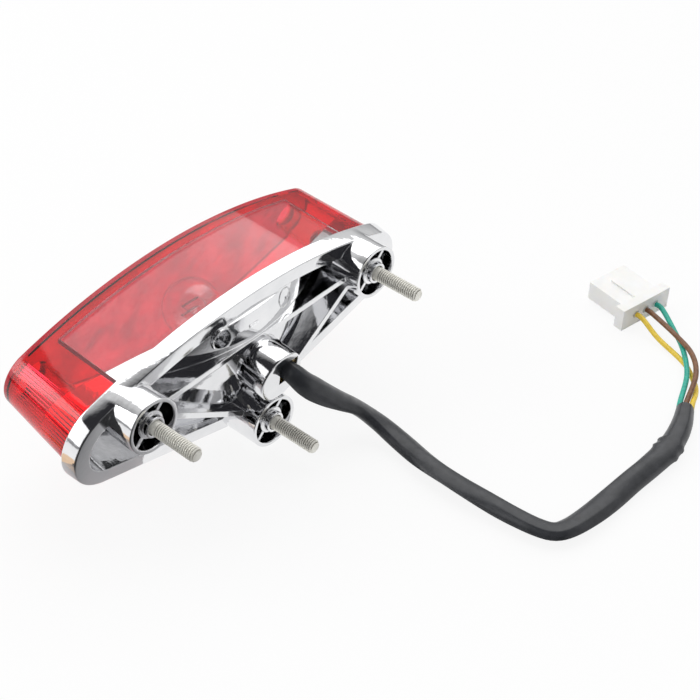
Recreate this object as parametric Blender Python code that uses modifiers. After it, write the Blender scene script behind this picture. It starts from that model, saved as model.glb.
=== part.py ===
"""Motorcycle tail light with a chromed housing, a deep red lens, a clear plate-light window and a lead.

The origin is on the mounting plane, midway between the two end studs. X runs along the light,
+Y points through the lens, the studs point along -Y, and +Z is up. Sizes are in metres.
"""

import math

import bmesh
import bpy
from mathutils import Matrix, Vector

# Clearance between pieces that seat on or pass through each other
GAP = 0.0003

# The rim, lens and bulb look up by this many degrees from the studs, about a pivot inside the housing
LENS_PITCH = 8.2
PIVOT_Y = 0.0200
PIVOT_Z = -0.0160

# Rim outline, seen from behind: two end arcs, a flat top arc, straight flanks and a bottom arc
RIM_LENGTH = 0.1758
RIM_TOP = 0.0220
RIM_BOTTOM = -0.0514
END_RADIUS = 0.0200
END_HEIGHT = -0.0106
BOTTOM_RADIUS = 0.0324

# Depth stations of the housing along the lens axis
SEAM_Y = 0.0214
CREASE_Y = 0.0148
FLANGE_Y = 0.0142
ROOT_Y = 0.0196
WALL = 0.0022
RIM_DRAFT = 0.0007
FLANGE_INSET = 0.0072
TOWER_INSET = 0.0078
TOWER_TOP = 0.0400
POCKET_INSET = 0.0100

# Reflector: a bowl about the bulb whose wings rise inside the lens towards both ends
BULB_Z = -0.0102
DOME_Y = 0.0090
DOME_FOCUS = 0.0385
DOME_RADIUS = 0.0400
WING_SLOPE = 0.42
WING_REACH = 0.0900

# Stud bosses and studs
STUD_SPACING = 0.1210
STUD_DROP = 0.0400
STUD_RADIUS = 0.00295
STUD_REACH = 0.0221
STUD_CHAMFER = 0.0008
STUD_ANCHOR_RADIUS = 0.0042
STUD_ANCHOR_START = 0.0068
STUD_ANCHOR_END = 0.0104
BOSS_RADIUS = 0.0115
BOSS_WALL = 0.0017
BOSS_DEPTH = 0.0145
BOSS_DEPTH_LOWER = 0.0197
HUB_RADIUS = 0.0058
HUB_FACE = 0.0015
COLLAR_RADIUS = 0.0044
COLLAR_FACE = -0.0008
BOSS_WEB = 0.0016
BOSS_WEB_FACE = 0.0008

# Web between the end bosses and ribs down to the lower boss
WEB_Y = 0.0063
WEB_THICKNESS = 0.0022
WEB_ROOT = 0.0240
RIB_Y = 0.0073
RIB_THICKNESS = 0.0024
RIB_ROOT = 0.0260
VENT_X = 0.0165
VENT_Z = 0.0088
VENT_RADIUS = 0.0039
VENT_END = 0.0185
VENT_COLLAR_RADIUS = 0.0048
VENT_COLLAR_FACE = 0.0133

# Cable boss, on the bulb's axis
SOCKET_BOSS_RADIUS = 0.0110
SOCKET_BOSS_END = -0.0042
SOCKET_END_WALL = 0.0023
SOCKET_BORE = 0.0089
CABLE_HOLE_X = 0.0035
CABLE_HOLE_RISE = 0.0016
CABLE_HOLE_WIDTH = 0.0092
CABLE_HOLE_HEIGHT = 0.0098

# Groove for the lens, gasket, lens and window
GROOVE_INSET = 0.0024
GROOVE_BOTTOM = 0.0170
GASKET_HEIGHT = 0.0010
LENS_WALL = 0.0025
LENS_FRONT_Y = 0.0608
LENS_FRONT_INSET = 0.0060
LENS_EDGE = 0.0014
FLUTE_DEPTH = 0.0006
WINDOW_HALF = 0.0605
WINDOW_FRONT_Y = 0.0542

# Lens screws in wells at the ends of the lens
WELL_RADIUS = 0.0046
WELL_WALL = 0.0014
WELL_BOTTOM = 0.0362
WELL_SEAT = 0.0392
SCREW_RADIUS = 0.0020
SCREW_HEAD_RADIUS = 0.0038
SCREW_HEAD_HEIGHT = 0.0024
SCREW_LENGTH = 0.0056
POST_RADIUS = 0.0045

# Bulb socket and its spring-loaded contacts
SOCKET_RADIUS = 0.0085
SOCKET_WALL = 0.0007
SOCKET_BACK = -0.0016
SOCKET_TOP = 0.0206
SOCKET_FLANGE = 0.0108
SOCKET_FLANGE_THICKNESS = 0.0008
SOCKET_BACK_HOLE = 0.0062
PIN_Y = 0.0160
PIN_RADIUS = 0.0010
PIN_REACH = 0.0083
BAYONET_SLOT = 0.0026
BAYONET_TURN = 25
CONTACT_PLATE_Y = 0.0050
CONTACT_PLATE_THICKNESS = 0.0026
CONTACT_RADIUS = 0.0017
CONTACT_HEIGHT = 0.0009
CONTACT_OFFSET = 0.0030
SPRING_RADIUS = 0.0070
SPRING_WIRE = 0.0009
SPRING_TURNS = 3

# Bulb
BASE_RADIUS = 0.0075
BASE_WALL = 0.0005
BASE_BOTTOM = 0.0104
BASE_TOP = 0.0270
GLOBE_RADIUS = 0.0122
GLOBE_Y = 0.0452
NECK_RADIUS = 0.0064
GLASS_WALL = 0.0007
STEM_RADIUS = 0.0040
STEM_TOP = 0.0350
FILAMENT_Y = 0.0465
FILAMENT_WIRE = 0.0003
FILAMENT_HALF = 0.0042
FILAMENT_SPACING = 0.0050

# Lead: sleeve, wires and connector, lying on the bench the light stands on
BENCH_Z = -0.0517
SLEEVE_RADIUS = 0.0038
WIRE_RADIUS = 0.00115
CONNECTOR_X = 0.1695
CONNECTOR_Y = -0.0524
CONNECTOR_TURN = -11
CONNECTOR_WIDTH = 0.0212
CONNECTOR_LENGTH = 0.0204
CONNECTOR_HEIGHT = 0.0088
CONNECTOR_COLLAR_WIDTH = 0.0286
CONNECTOR_COLLAR_LENGTH = 0.0044
CONNECTOR_COLLAR_HEIGHT = 0.0108
TERMINAL_PITCH = 0.0060
TERMINAL_WIDTH = 0.0034
TERMINAL_THICKNESS = 0.0010
TERMINAL_LENGTH = 0.0150
CAVITY_WIDTH = 0.0046
CAVITY_HEIGHT = 0.0052
CAVITY_DEPTH = 0.0170

# Facets
TOP_STEPS = 12
END_STEPS = 14
FLUTE_STEPS = 28
BOTTOM_STEPS = 8
BOSS_STEPS = 28
ROUND_STEPS = 20

END_X = RIM_LENGTH / 2 - END_RADIUS
TOP_REACH = END_HEIGHT - RIM_TOP
TOP_RADIUS = (END_RADIUS**2 - END_X**2 - TOP_REACH**2) / (2 * (TOP_REACH + END_RADIUS))
TOP_CENTRE = RIM_TOP - TOP_RADIUS
BOTTOM_CENTRE = RIM_BOTTOM + BOTTOM_RADIUS
STUD_X = STUD_SPACING / 2
PIVOT = Vector((0, PIVOT_Y, PIVOT_Z))
PITCH = Matrix.Translation(PIVOT) @ Matrix.Rotation(math.radians(LENS_PITCH), 4, "X")
PITCH = PITCH @ Matrix.Translation(-PIVOT)

for old in list(bpy.data.objects):
    bpy.data.objects.remove(old, do_unlink=True)

parts = bpy.data.collections.new("tail_light")
cutters = bpy.data.collections.new("cutters")
bpy.context.scene.collection.children.link(parts)
bpy.context.scene.collection.children.link(cutters)


def finish(name, colour, roughness, metallic, transmission=0.0):
    """A Principled material for one sub-part."""
    made = bpy.data.materials.new(name)
    made.use_nodes = True
    shader = made.node_tree.nodes["Principled BSDF"]
    shader.inputs["Base Color"].default_value = (*colour, 1)
    shader.inputs["Roughness"].default_value = roughness
    shader.inputs["Metallic"].default_value = metallic
    shader.inputs["Transmission Weight"].default_value = transmission
    return made


CHROME = (0.78, 0.79, 0.80), 0.06, 1.0
ZINC = (0.62, 0.60, 0.52), 0.30, 1.0
BRASS = (0.72, 0.55, 0.28), 0.28, 1.0
GLASS = (0.95, 0.96, 0.97), 0.02, 0.0, 0.95
BLACK_RUBBER = (0.020, 0.020, 0.022), 0.55, 0.0
TUNGSTEN = (0.35, 0.34, 0.33), 0.40, 1.0


def keep(made, look):
    """Puts a finished piece in the parts collection with its own material."""
    parts.objects.link(made)
    made.data.materials.clear()
    made.data.materials.append(finish(made.name, *look))
    if made.type == "MESH":
        made.data.shade_smooth()
        made.data.set_sharp_from_angle(angle=math.radians(35))
    return made


def helper(made):
    """Puts a piece that only cuts or joins another in the cutters collection."""
    cutters.objects.link(made)
    made.hide_render = True
    made.display_type = "WIRE"
    return made


def mesh_object(name, build):
    """An object whose mesh is made by build(bm), closed and with its faces pointing out."""
    bm = bmesh.new()
    build(bm)
    bmesh.ops.recalc_face_normals(bm, faces=bm.faces)
    mesh = bpy.data.meshes.new(name)
    bm.to_mesh(mesh)
    bm.free()
    return bpy.data.objects.new(name, mesh)


def pitched(made):
    """Turns a piece drawn on the lens axis to the pitch of the lens."""
    made.data.transform(PITCH @ made.matrix_basis)
    made.matrix_basis = Matrix()
    return made


def combine(target, operation, *others):
    for other in others:
        step = target.modifiers.new(f"{operation.lower()}_{other.name}", "BOOLEAN")
        step.operation = operation
        step.object = other


def cut(target, *others):
    combine(target, "DIFFERENCE", *others)


def join(target, *others):
    combine(target, "UNION", *others)


def arc(centre_x, centre_z, radius, start, end, steps):
    """Points from angle start to angle end on a circle, without the last one."""
    turn = (end - start) / steps
    angles = [start + turn * step for step in range(steps)]
    return [(centre_x + radius * math.cos(a), centre_z + radius * math.sin(a)) for a in angles]


def outline(inset, flute=0.0, end_steps=END_STEPS):
    """The rim outline drawn in by inset, clockwise from the left end of the top arc.

    flute pushes every second point of the end arcs inwards, for the prisms inside the lens.
    """
    top_angle = math.atan2(END_HEIGHT - TOP_CENTRE, END_X)
    rise = END_HEIGHT - BOTTOM_CENTRE
    reach = math.hypot(END_X, rise)
    flank = math.atan2(rise, END_X) - math.acos((BOTTOM_RADIUS - END_RADIUS) / reach)
    end = END_RADIUS - inset
    points = arc(0, TOP_CENTRE, TOP_RADIUS - inset, math.pi - top_angle, top_angle, TOP_STEPS)
    right = arc(END_X, END_HEIGHT, end, top_angle, flank, end_steps)
    for step in range(1, end_steps, 2):
        x, z = right[step]
        share = 1 - flute / end
        right[step] = (END_X + (x - END_X) * share, END_HEIGHT + (z - END_HEIGHT) * share)
    points += right
    points.append((END_X + end * math.cos(flank), END_HEIGHT + end * math.sin(flank)))
    low = BOTTOM_RADIUS - inset
    points += arc(0, BOTTOM_CENTRE, low, flank, -math.pi - flank, BOTTOM_STEPS)
    points.append((-low * math.cos(flank), BOTTOM_CENTRE + low * math.sin(flank)))
    points.append((-END_X - end * math.cos(flank), END_HEIGHT + end * math.sin(flank)))
    points += [(-x, z) for x, z in reversed(right[1:])]
    return points


def loft(name, sections):
    """A closed solid through sections, each a list of (x, y, z) points, capped at both ends."""

    def build(bm):
        rings = [[bm.verts.new(point) for point in section] for section in sections]
        for one, two in zip(rings, rings[1:]):
            for here in range(len(one)):
                after = (here + 1) % len(one)
                bm.faces.new((one[here], one[after], two[after], two[here]))
        bm.faces.new(rings[0])
        bm.faces.new(rings[-1])

    return mesh_object(name, build)


def ring_solid(name, stations):
    """A closed ring that follows the rim outline, with stations as its section."""

    def build(bm):
        rings = [[bm.verts.new(p) for p in at_depth(outline(inset), y)] for inset, y in stations]
        for one, two in zip(rings, rings[1:] + rings[:1]):
            for here in range(len(one)):
                after = (here + 1) % len(one)
                bm.faces.new((one[here], one[after], two[after], two[here]))

    return mesh_object(name, build)


def at_depth(points, y):
    return [(x, y, z) for x, z in points]


def turned(name, profile, x=0.0, z=0.0, steps=ROUND_STEPS):
    """A solid turned about an axis along Y through (x, z), from a profile of (radius, y) points.

    The profile is an open line from axis to axis, or a closed loop off the axis.
    """
    on_axis = profile[0][0] == 0
    ends = len(profile) - 1 if on_axis else len(profile)
    mesh = bpy.data.meshes.new(name)
    edges = [(one, (one + 1) % len(profile)) for one in range(ends)]
    mesh.from_pydata([(radius, y, 0) for radius, y in profile], edges, [])
    line = bpy.data.objects.new(name + "_profile", mesh)
    cutters.objects.link(line)
    screw = line.modifiers.new("turn", "SCREW")
    screw.axis = "Y"
    screw.steps = steps
    screw.render_steps = steps
    screw.use_merge_vertices = True
    screw.merge_threshold = 0.00001
    made = solid_from(line, name)
    made.location = (x, 0, z)
    return made


def solid_from(source, name):
    """A mesh object with the shape that source shows, its seams welded; source is removed."""
    bpy.context.view_layer.update()
    shown = source.evaluated_get(bpy.context.evaluated_depsgraph_get())
    mesh = bpy.data.meshes.new_from_object(shown)
    bm = bmesh.new()
    bm.from_mesh(mesh)
    bmesh.ops.remove_doubles(bm, verts=bm.verts, dist=0.00001)
    bmesh.ops.recalc_face_normals(bm, faces=bm.faces)
    bm.to_mesh(mesh)
    bm.free()
    made = bpy.data.objects.new(name, mesh)
    made.matrix_world = source.matrix_world
    bpy.data.objects.remove(source)
    return made


def rod(name, radius, start, end, x=0.0, z=0.0, steps=ROUND_STEPS):
    """A cylinder along Y from start to end."""
    place = Matrix.Translation((x, (start + end) / 2, z)) @ Matrix.Rotation(math.pi / 2, 4, "X")

    def build(bm):
        bmesh.ops.create_cone(
            bm, cap_ends=True, segments=steps, radius1=radius, radius2=radius, depth=end - start, matrix=place
        )

    return mesh_object(name, build)


def block(name, low, high, place=None):
    """A box between two corners, then moved by place."""
    size = Vector(high) - Vector(low)
    middle = (Vector(high) + Vector(low)) / 2
    local = Matrix.Translation(middle) @ Matrix.Diagonal((*size, 1))

    def build(bm):
        bmesh.ops.create_cube(bm, size=1, matrix=(place or Matrix()) @ local)

    return mesh_object(name, build)


def smooth_route(points, spacing):
    """Points every spacing along a smooth curve through a route's own points."""
    places = [Vector(point) for point in points]
    places = [2 * places[0] - places[1]] + places + [2 * places[-1] - places[-2]]
    fine = []
    for here in range(1, len(places) - 2):
        before, start, end, after = places[here - 1 : here + 3]
        for step in range(24):
            t = step / 24
            fine.append(
                0.5
                * (
                    2 * start
                    + (end - before) * t
                    + (2 * before - 5 * start + 4 * end - after) * t**2
                    + (3 * start - before - 3 * end + after) * t**3
                )
            )
    fine.append(places[-2])
    length = sum((two - one).length for one, two in zip(fine, fine[1:]))
    count = max(2, round(length / spacing))
    kept, gone, wanted = [fine[0]], 0.0, length / count
    for one, two in zip(fine, fine[1:]):
        run = (two - one).length
        while gone + run >= wanted - 1e-9 and len(kept) < count:
            kept.append(one.lerp(two, (wanted - gone) / run))
            wanted += length / count
        gone += run
    return kept + [fine[-1]], length


def tube(name, points, radius, sides=2):
    """A round cord along points, as a curve with a bevel and filled caps."""
    curve = bpy.data.curves.new(name, "CURVE")
    curve.dimensions = "3D"
    curve.bevel_depth = radius
    curve.bevel_resolution = sides
    curve.use_fill_caps = True
    spline = curve.splines.new("POLY")
    spline.points.add(len(points) - 1)
    for place, point in zip(spline.points, points):
        place.co = (*point, 1)
    return bpy.data.objects.new(name, curve)


# Housing: one chromed moulding with rim, flange, reflector dome, bosses and ribs


def make_shell():
    """Rim, flange and the block that the reflector is hollowed out of from both sides."""
    plug_inset = FLANGE_INSET + 0.0010
    stations = [
        (plug_inset, DOME_Y - 0.005),
        (plug_inset, FLANGE_Y),
        (RIM_DRAFT + 0.0006, CREASE_Y - 0.0004),
        (RIM_DRAFT, CREASE_Y),
        (0, SEAM_Y - 0.0005),
        (0.0004, SEAM_Y),
        (groove_end + 0.0004, SEAM_Y),
        (TOWER_INSET, TOWER_TOP),
    ]
    return loft("housing", [at_depth(outline(inset), y) for inset, y in stations])


def tower_face(y):
    """Inset of the reflector's outer wall inside the lens, at a depth."""
    foot = groove_end + 0.0004
    return foot + (TOWER_INSET - foot) * (y - SEAM_Y) / (TOWER_TOP - SEAM_Y)


def reflector_line(offset):
    """The reflector's half section from the bulb's axis outwards: a parabola, then a straight wing."""
    steps = 9
    radii = [DOME_RADIUS * step / steps for step in range(steps + 1)]
    line = [(radius, DOME_Y + offset + radius**2 / (4 * DOME_FOCUS)) for radius in radii]
    wing_rise = WING_SLOPE * (WING_REACH - DOME_RADIUS)
    return line + [(WING_REACH, line[-1][1] + wing_rise)]


def room(name, line, stations):
    """A cutter turned about the bulb's axis, kept within stations of the rim outline.

    Its facets stand half a step off those of the cable boss, so that no edges fall together.
    """
    made = turned(name, line, 0, BULB_Z, BOSS_STEPS)
    made.data.transform(Matrix.Rotation(math.pi / BOSS_STEPS, 4, "Y"))
    made = pitched(made)
    sections = [at_depth(outline(inset, 0, END_STEPS + 3), y) for inset, y in stations]
    limit = loft(name + "_limit", sections)
    combine(made, "INTERSECT", helper(pitched(limit)))
    return helper(made)


def make_boss(name, x, z, depth):
    """Hollow boss with a hub for its stud: a ring wall round a pocket and a stepped hub."""
    bore = STUD_RADIUS + GAP
    pocket = BOSS_RADIUS - BOSS_WALL
    floor = STUD_ANCHOR_END
    profile = [
        (0, depth),
        (BOSS_RADIUS, depth),
        (BOSS_RADIUS, 0),
        (pocket, 0),
        (pocket, floor),
        (HUB_RADIUS, floor),
        (HUB_RADIUS, HUB_FACE),
        (COLLAR_RADIUS, HUB_FACE),
        (COLLAR_RADIUS, COLLAR_FACE),
        (bore, COLLAR_FACE),
        (bore, STUD_ANCHOR_START - GAP),
        (STUD_ANCHOR_RADIUS + GAP, STUD_ANCHOR_START - GAP),
        (STUD_ANCHOR_RADIUS + GAP, STUD_ANCHOR_END + GAP),
        (0, STUD_ANCHOR_END + GAP),
    ]
    return turned(name, profile, x, z, BOSS_STEPS)


def make_boss_webs(name, x, z):
    """Four webs between hub and ring, set as an X, cut clear of the hub's core."""
    inner = (HUB_RADIUS + COLLAR_RADIUS) / 2
    outer = BOSS_RADIUS - BOSS_WALL / 2
    made = []
    for quarter in range(4):
        turn = Matrix.Translation((x, 0, z)) @ Matrix.Rotation(math.radians(45 + 90 * quarter), 4, "Y")
        low = (inner, BOSS_WEB_FACE + HUB_FACE, -BOSS_WEB / 2)
        high = (outer, STUD_ANCHOR_END + 0.0005, BOSS_WEB / 2)
        made.append(helper(block(f"{name}_{quarter}", low, high, turn)))
    return made


def make_rib(name, side):
    """Diagonal rib from an end boss to the lower boss."""
    run = Vector((STUD_X, 0, STUD_DROP))
    angle = math.atan2(run.z, run.x)
    low = (BOSS_RADIUS - BOSS_WALL / 2, RIB_Y, -RIB_THICKNESS / 2)
    high = (run.length - BOSS_RADIUS + BOSS_WALL / 2, RIB_ROOT, RIB_THICKNESS / 2)
    lean = Matrix.Rotation(angle if side < 0 else math.pi - angle, 4, "Y")
    return block(name, low, high, Matrix.Translation((side * STUD_X, 0, 0)) @ lean)


groove_end = GROOVE_INSET + LENS_WALL + 2 * GAP
inner_wall = FLANGE_INSET + WALL
housing = pitched(make_shell())
studs = {"left": (-STUD_X, 0.0), "right": (STUD_X, 0.0), "lower": (0.0, -STUD_DROP)}
root_start = FLANGE_Y + 0.0004
far_back = DOME_Y - 0.020
far_front = TOWER_TOP + 0.020
pocket_line = [(0, far_back), (WING_REACH, far_back)] + reflector_line(0)[::-1]
pocket_limit = [(FLANGE_INSET, far_back - 0.01), (FLANGE_INSET, FLANGE_Y - 0.002)]
cut(housing, room("pocket", pocket_line, pocket_limit + [(POCKET_INSET, far_front)]))
cable_boss = rod("cable_boss", SOCKET_BOSS_RADIUS, SOCKET_BOSS_END, ROOT_Y, 0, BULB_Z, BOSS_STEPS)
join(housing, helper(pitched(cable_boss)))
web_half = STUD_X - BOSS_RADIUS + BOSS_WALL / 2
web_low = (-web_half, WEB_Y, -WEB_THICKNESS / 2)
join(housing, helper(block("web", web_low, (web_half, WEB_ROOT, WEB_THICKNESS / 2))))
join(housing, helper(make_rib("rib_left", -1)), helper(make_rib("rib_right", 1)))
for side, (stud_x, stud_z) in studs.items():
    depth = BOSS_DEPTH_LOWER if side == "lower" else BOSS_DEPTH
    foot = PITCH.inverted() @ Vector((stud_x, depth, stud_z))
    root_radius = BOSS_RADIUS - 0.0004
    root = rod(f"boss_root_{side}", root_radius, root_start, ROOT_Y, stud_x, foot.z, BOSS_STEPS)
    join(housing, helper(pitched(root)))
    if side != "lower":
        core_start = root_start + 0.001
        core_end = TOWER_TOP - 0.001
        core = rod(f"boss_core_{side}", root_radius - 0.0003, core_start, core_end, stud_x, foot.z, BOSS_STEPS)
        core_limit = [(tower_face(y) + 0.0010, y) for y in (FLANGE_Y, far_front + 0.01)]
        walls = loft(f"boss_core_{side}_limit", [at_depth(outline(inset), y) for inset, y in core_limit])
        combine(pitched(core), "INTERSECT", helper(pitched(walls)))
        join(housing, helper(core))
    join(housing, helper(make_boss(f"boss_{side}", stud_x, stud_z, depth)))
    join(housing, *make_boss_webs(f"boss_web_{side}", stud_x, stud_z))
bowl_line = reflector_line(WALL) + [(WING_REACH, far_front), (0, far_front)]
bowl_limit = [(inner_wall, far_back), (inner_wall, SEAM_Y - 0.0005), (groove_end - 0.0003, SEAM_Y - 0.0004)]
cut(housing, room("bowl", bowl_line, bowl_limit + [(groove_end - 0.0003, far_front + 0.01)]))
bore_start = SOCKET_BOSS_END + SOCKET_END_WALL
bore = rod("socket_bore", SOCKET_BORE, bore_start, SEAM_Y + 0.01, 0, BULB_Z, BOSS_STEPS)
cut(housing, helper(pitched(bore)))
CABLE_HOLE_Z = BULB_Z + CABLE_HOLE_RISE
hole_at = Vector((CABLE_HOLE_X, SOCKET_BOSS_END, CABLE_HOLE_Z))
hole_half = Vector((CABLE_HOLE_WIDTH / 2, 0, CABLE_HOLE_HEIGHT / 2))
hole_low = hole_at - hole_half - Vector((0, 0.005, 0))
hole_high = hole_at + hole_half + Vector((0, SOCKET_END_WALL + 0.001, 0))
cut(housing, helper(pitched(block("cable_hole", hole_low, hole_high))))
vent_collar = rod("vent_collar", VENT_COLLAR_RADIUS, VENT_COLLAR_FACE, VENT_END + 0.0015, -VENT_X, VENT_Z)
join(housing, helper(pitched(vent_collar)))
cut(housing, helper(pitched(rod("vent", VENT_RADIUS, DOME_Y - 0.005, VENT_END, -VENT_X, VENT_Z))))
for side, sign in (("left", -1), ("right", 1)):
    post_start = reflector_line(0)[-1][1] - WING_SLOPE * (WING_REACH - END_X) + WALL / 2
    post = rod(f"post_{side}", POST_RADIUS, post_start, WELL_BOTTOM - GAP, sign * END_X, END_HEIGHT)
    pilot_start = WELL_SEAT - SCREW_LENGTH
    pilot_end = WELL_BOTTOM + 0.01
    pilot = rod(f"pilot_{side}", SCREW_RADIUS + GAP, pilot_start, pilot_end, sign * END_X, END_HEIGHT)
    join(housing, helper(pitched(post)))
    cut(housing, helper(pitched(pilot)))
groove_top = SEAM_Y + 0.01
groove_corners = [(GROOVE_INSET, GROOVE_BOTTOM), (groove_end, GROOVE_BOTTOM)]
groove_corners += [(groove_end, groove_top), (GROOVE_INSET, groove_top)]
cut(housing, helper(pitched(ring_solid("lens_groove", groove_corners))))
keep(housing, CHROME)

for side, (stud_x, stud_z) in studs.items():
    stud_profile = [
        (0, STUD_ANCHOR_END),
        (STUD_ANCHOR_RADIUS, STUD_ANCHOR_END),
        (STUD_ANCHOR_RADIUS, STUD_ANCHOR_START),
        (STUD_RADIUS, STUD_ANCHOR_START),
        (STUD_RADIUS, STUD_CHAMFER - STUD_REACH),
        (STUD_RADIUS - STUD_CHAMFER, -STUD_REACH),
        (0, -STUD_REACH),
    ]
    keep(turned(f"stud_{side}", stud_profile, stud_x, stud_z), ZINC)

# Lens, gasket and window, in the groove of the rim

lens_foot = GROOVE_BOTTOM + GAP + GASKET_HEIGHT + GAP
lens_inset = GROOVE_INSET + GAP


def lens_face(y):
    """Inset of the lens's outer face at a depth: the walls draw in towards the front."""
    share = (y - SEAM_Y) / (LENS_FRONT_Y - SEAM_Y)
    return lens_inset + max(0.0, share) * (LENS_FRONT_INSET - lens_inset)


gasket_stations = [(lens_inset, 0), (lens_inset, GASKET_HEIGHT), (lens_inset + LENS_WALL, GASKET_HEIGHT)]
gasket_stations.append((lens_inset + LENS_WALL, 0))


gasket_base = GROOVE_BOTTOM + GAP
gasket = ring_solid("lens_gasket", [(inset, gasket_base + y) for inset, y in gasket_stations])
keep(pitched(gasket), BLACK_RUBBER)

front_shoulder = LENS_FRONT_Y - LENS_EDGE
inner_front = LENS_FRONT_Y - LENS_WALL
lens_stations = [
    (lens_face(LENS_FRONT_Y) + LENS_EDGE, LENS_FRONT_Y, 0),
    (lens_face(front_shoulder) + LENS_EDGE * 0.3, front_shoulder + LENS_EDGE * 0.7, 0),
    (lens_face(front_shoulder), front_shoulder, 0),
    (lens_face(SEAM_Y), SEAM_Y, 0),
    (lens_inset, lens_foot, 0),
    (lens_inset + LENS_WALL, lens_foot, 0),
    (lens_face(SEAM_Y) + LENS_WALL, SEAM_Y, 0),
    (lens_face(SEAM_Y) + LENS_WALL, SEAM_Y + 0.0012, FLUTE_DEPTH),
    (lens_face(inner_front) + LENS_WALL, inner_front, FLUTE_DEPTH),
]
lens_sections = [at_depth(outline(inset, flute, FLUTE_STEPS), y) for inset, y, flute in lens_stations]
lens = pitched(loft("lens", lens_sections))


def top_arc(inset, half):
    """Points along the lens's top arc, from one side of a centred span to the other."""
    radius = TOP_RADIUS - inset
    reach = math.asin(half / radius)
    angles = [reach * (2 * step / TOP_STEPS - 1) for step in range(TOP_STEPS + 1)]
    return [(radius * math.sin(a), TOP_CENTRE + radius * math.cos(a)) for a in angles]


def window_slab(name, half, start, end, outer, inner):
    """A curved panel in the lens's top wall, with faces set off from the wall's outer face."""

    def build(bm):
        grids = []
        for offset in (outer, inner):
            rows = []
            for y in (start, end):
                rows.append([bm.verts.new((x, y, z)) for x, z in top_arc(lens_face(y) + offset, half)])
            grids.append(rows)
        (near_out, far_out), (near_in, far_in) = grids
        loops = [near_out, far_out, far_in, near_in]
        for one, two in zip(loops, loops[1:] + loops[:1]):
            for here in range(len(one) - 1):
                bm.faces.new((one[here], one[here + 1], two[here + 1], two[here]))
        bm.faces.new([row[0] for row in loops])
        bm.faces.new([row[-1] for row in loops])

    return mesh_object(name, build)


window_near = SEAM_Y + 0.0004
for side, sign in (("left", -1), ("right", 1)):
    x = sign * END_X
    well = rod(f"well_{side}", WELL_RADIUS + WELL_WALL, WELL_BOTTOM, inner_front + 0.001, x, END_HEIGHT)
    bore = rod(f"well_bore_{side}", WELL_RADIUS, WELL_SEAT, LENS_FRONT_Y + 0.01, x, END_HEIGHT)
    hole_start = WELL_BOTTOM - 0.01
    hole = rod(f"well_hole_{side}", SCREW_RADIUS + GAP, hole_start, WELL_SEAT + 0.001, x, END_HEIGHT)
    join(lens, helper(pitched(well)))
    cut(lens, helper(pitched(bore)), helper(pitched(hole)))
opening = window_slab(
    "window_opening", WINDOW_HALF, window_near, WINDOW_FRONT_Y, -LENS_WALL, 2 * LENS_WALL
)
cut(lens, helper(pitched(opening)))
keep(lens, ((0.62, 0.01, 0.02), 0.05, 0.0, 0.9))
window = window_slab(
    "plate_window", WINDOW_HALF - GAP, window_near + GAP, WINDOW_FRONT_Y - GAP, 0, LENS_WALL
)
keep(pitched(window), ((0.93, 0.94, 0.95), 0.03, 0.0, 0.95))

for side, sign in (("left", -1), ("right", 1)):
    seat = WELL_SEAT + GAP
    screw_profile = [
        (0, seat + SCREW_HEAD_HEIGHT),
        (SCREW_HEAD_RADIUS * 0.6, seat + SCREW_HEAD_HEIGHT),
        (SCREW_HEAD_RADIUS, seat + SCREW_HEAD_HEIGHT * 0.4),
        (SCREW_HEAD_RADIUS, seat),
        (SCREW_RADIUS, seat),
        (SCREW_RADIUS, seat - SCREW_LENGTH + SCREW_RADIUS),
        (0, seat - SCREW_LENGTH),
    ]
    keep(pitched(turned(f"lens_screw_{side}", screw_profile, sign * END_X, END_HEIGHT)), ZINC)

# Bulb socket: a brass bayonet shell in the cable boss, with sprung contacts behind the bulb

socket_inner = SOCKET_RADIUS - SOCKET_WALL
flange_back = DOME_Y + WALL + SOCKET_FLANGE**2 / (4 * DOME_FOCUS) + GAP
flange_front = flange_back + SOCKET_FLANGE_THICKNESS
socket = turned(
    "bulb_socket",
    [
        (SOCKET_RADIUS, SOCKET_BACK),
        (SOCKET_RADIUS, flange_back),
        (SOCKET_FLANGE, flange_back),
        (SOCKET_FLANGE, flange_front),
        (SOCKET_RADIUS, flange_front),
        (SOCKET_RADIUS, SOCKET_TOP),
        (socket_inner, SOCKET_TOP),
        (socket_inner, SOCKET_BACK + SOCKET_WALL),
        (SOCKET_BACK_HOLE, SOCKET_BACK + SOCKET_WALL),
        (SOCKET_BACK_HOLE, SOCKET_BACK),
    ],
    0,
    BULB_Z,
    BOSS_STEPS,
)
pitched(socket)
slot_half = BAYONET_SLOT / 2
slot_reach = math.asin(slot_half / SOCKET_RADIUS)
run_half = SOCKET_RADIUS * math.sin(math.radians(BAYONET_TURN / 2) + slot_reach)
for side, start in (("upper", 90), ("lower", 270)):
    entry = Matrix.Translation((0, 0, BULB_Z)) @ Matrix.Rotation(math.radians(start + BAYONET_TURN), 4, "Y")
    run = Matrix.Translation((0, 0, BULB_Z)) @ Matrix.Rotation(math.radians(start + BAYONET_TURN / 2), 4, "Y")
    inside = socket_inner * 0.8
    entry_low = (inside, PIN_Y - slot_half, -slot_half)
    entry_high = (SOCKET_RADIUS + 0.0008, SOCKET_TOP + 0.001, slot_half)
    run_low = (inside, PIN_Y - slot_half, -run_half)
    run_high = (SOCKET_RADIUS + 0.0008, PIN_Y + slot_half, run_half)
    cut(socket, helper(pitched(block(f"slot_entry_{side}", entry_low, entry_high, entry))))
    cut(socket, helper(pitched(block(f"slot_run_{side}", run_low, run_high, run))))
keep(socket, BRASS)

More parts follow.
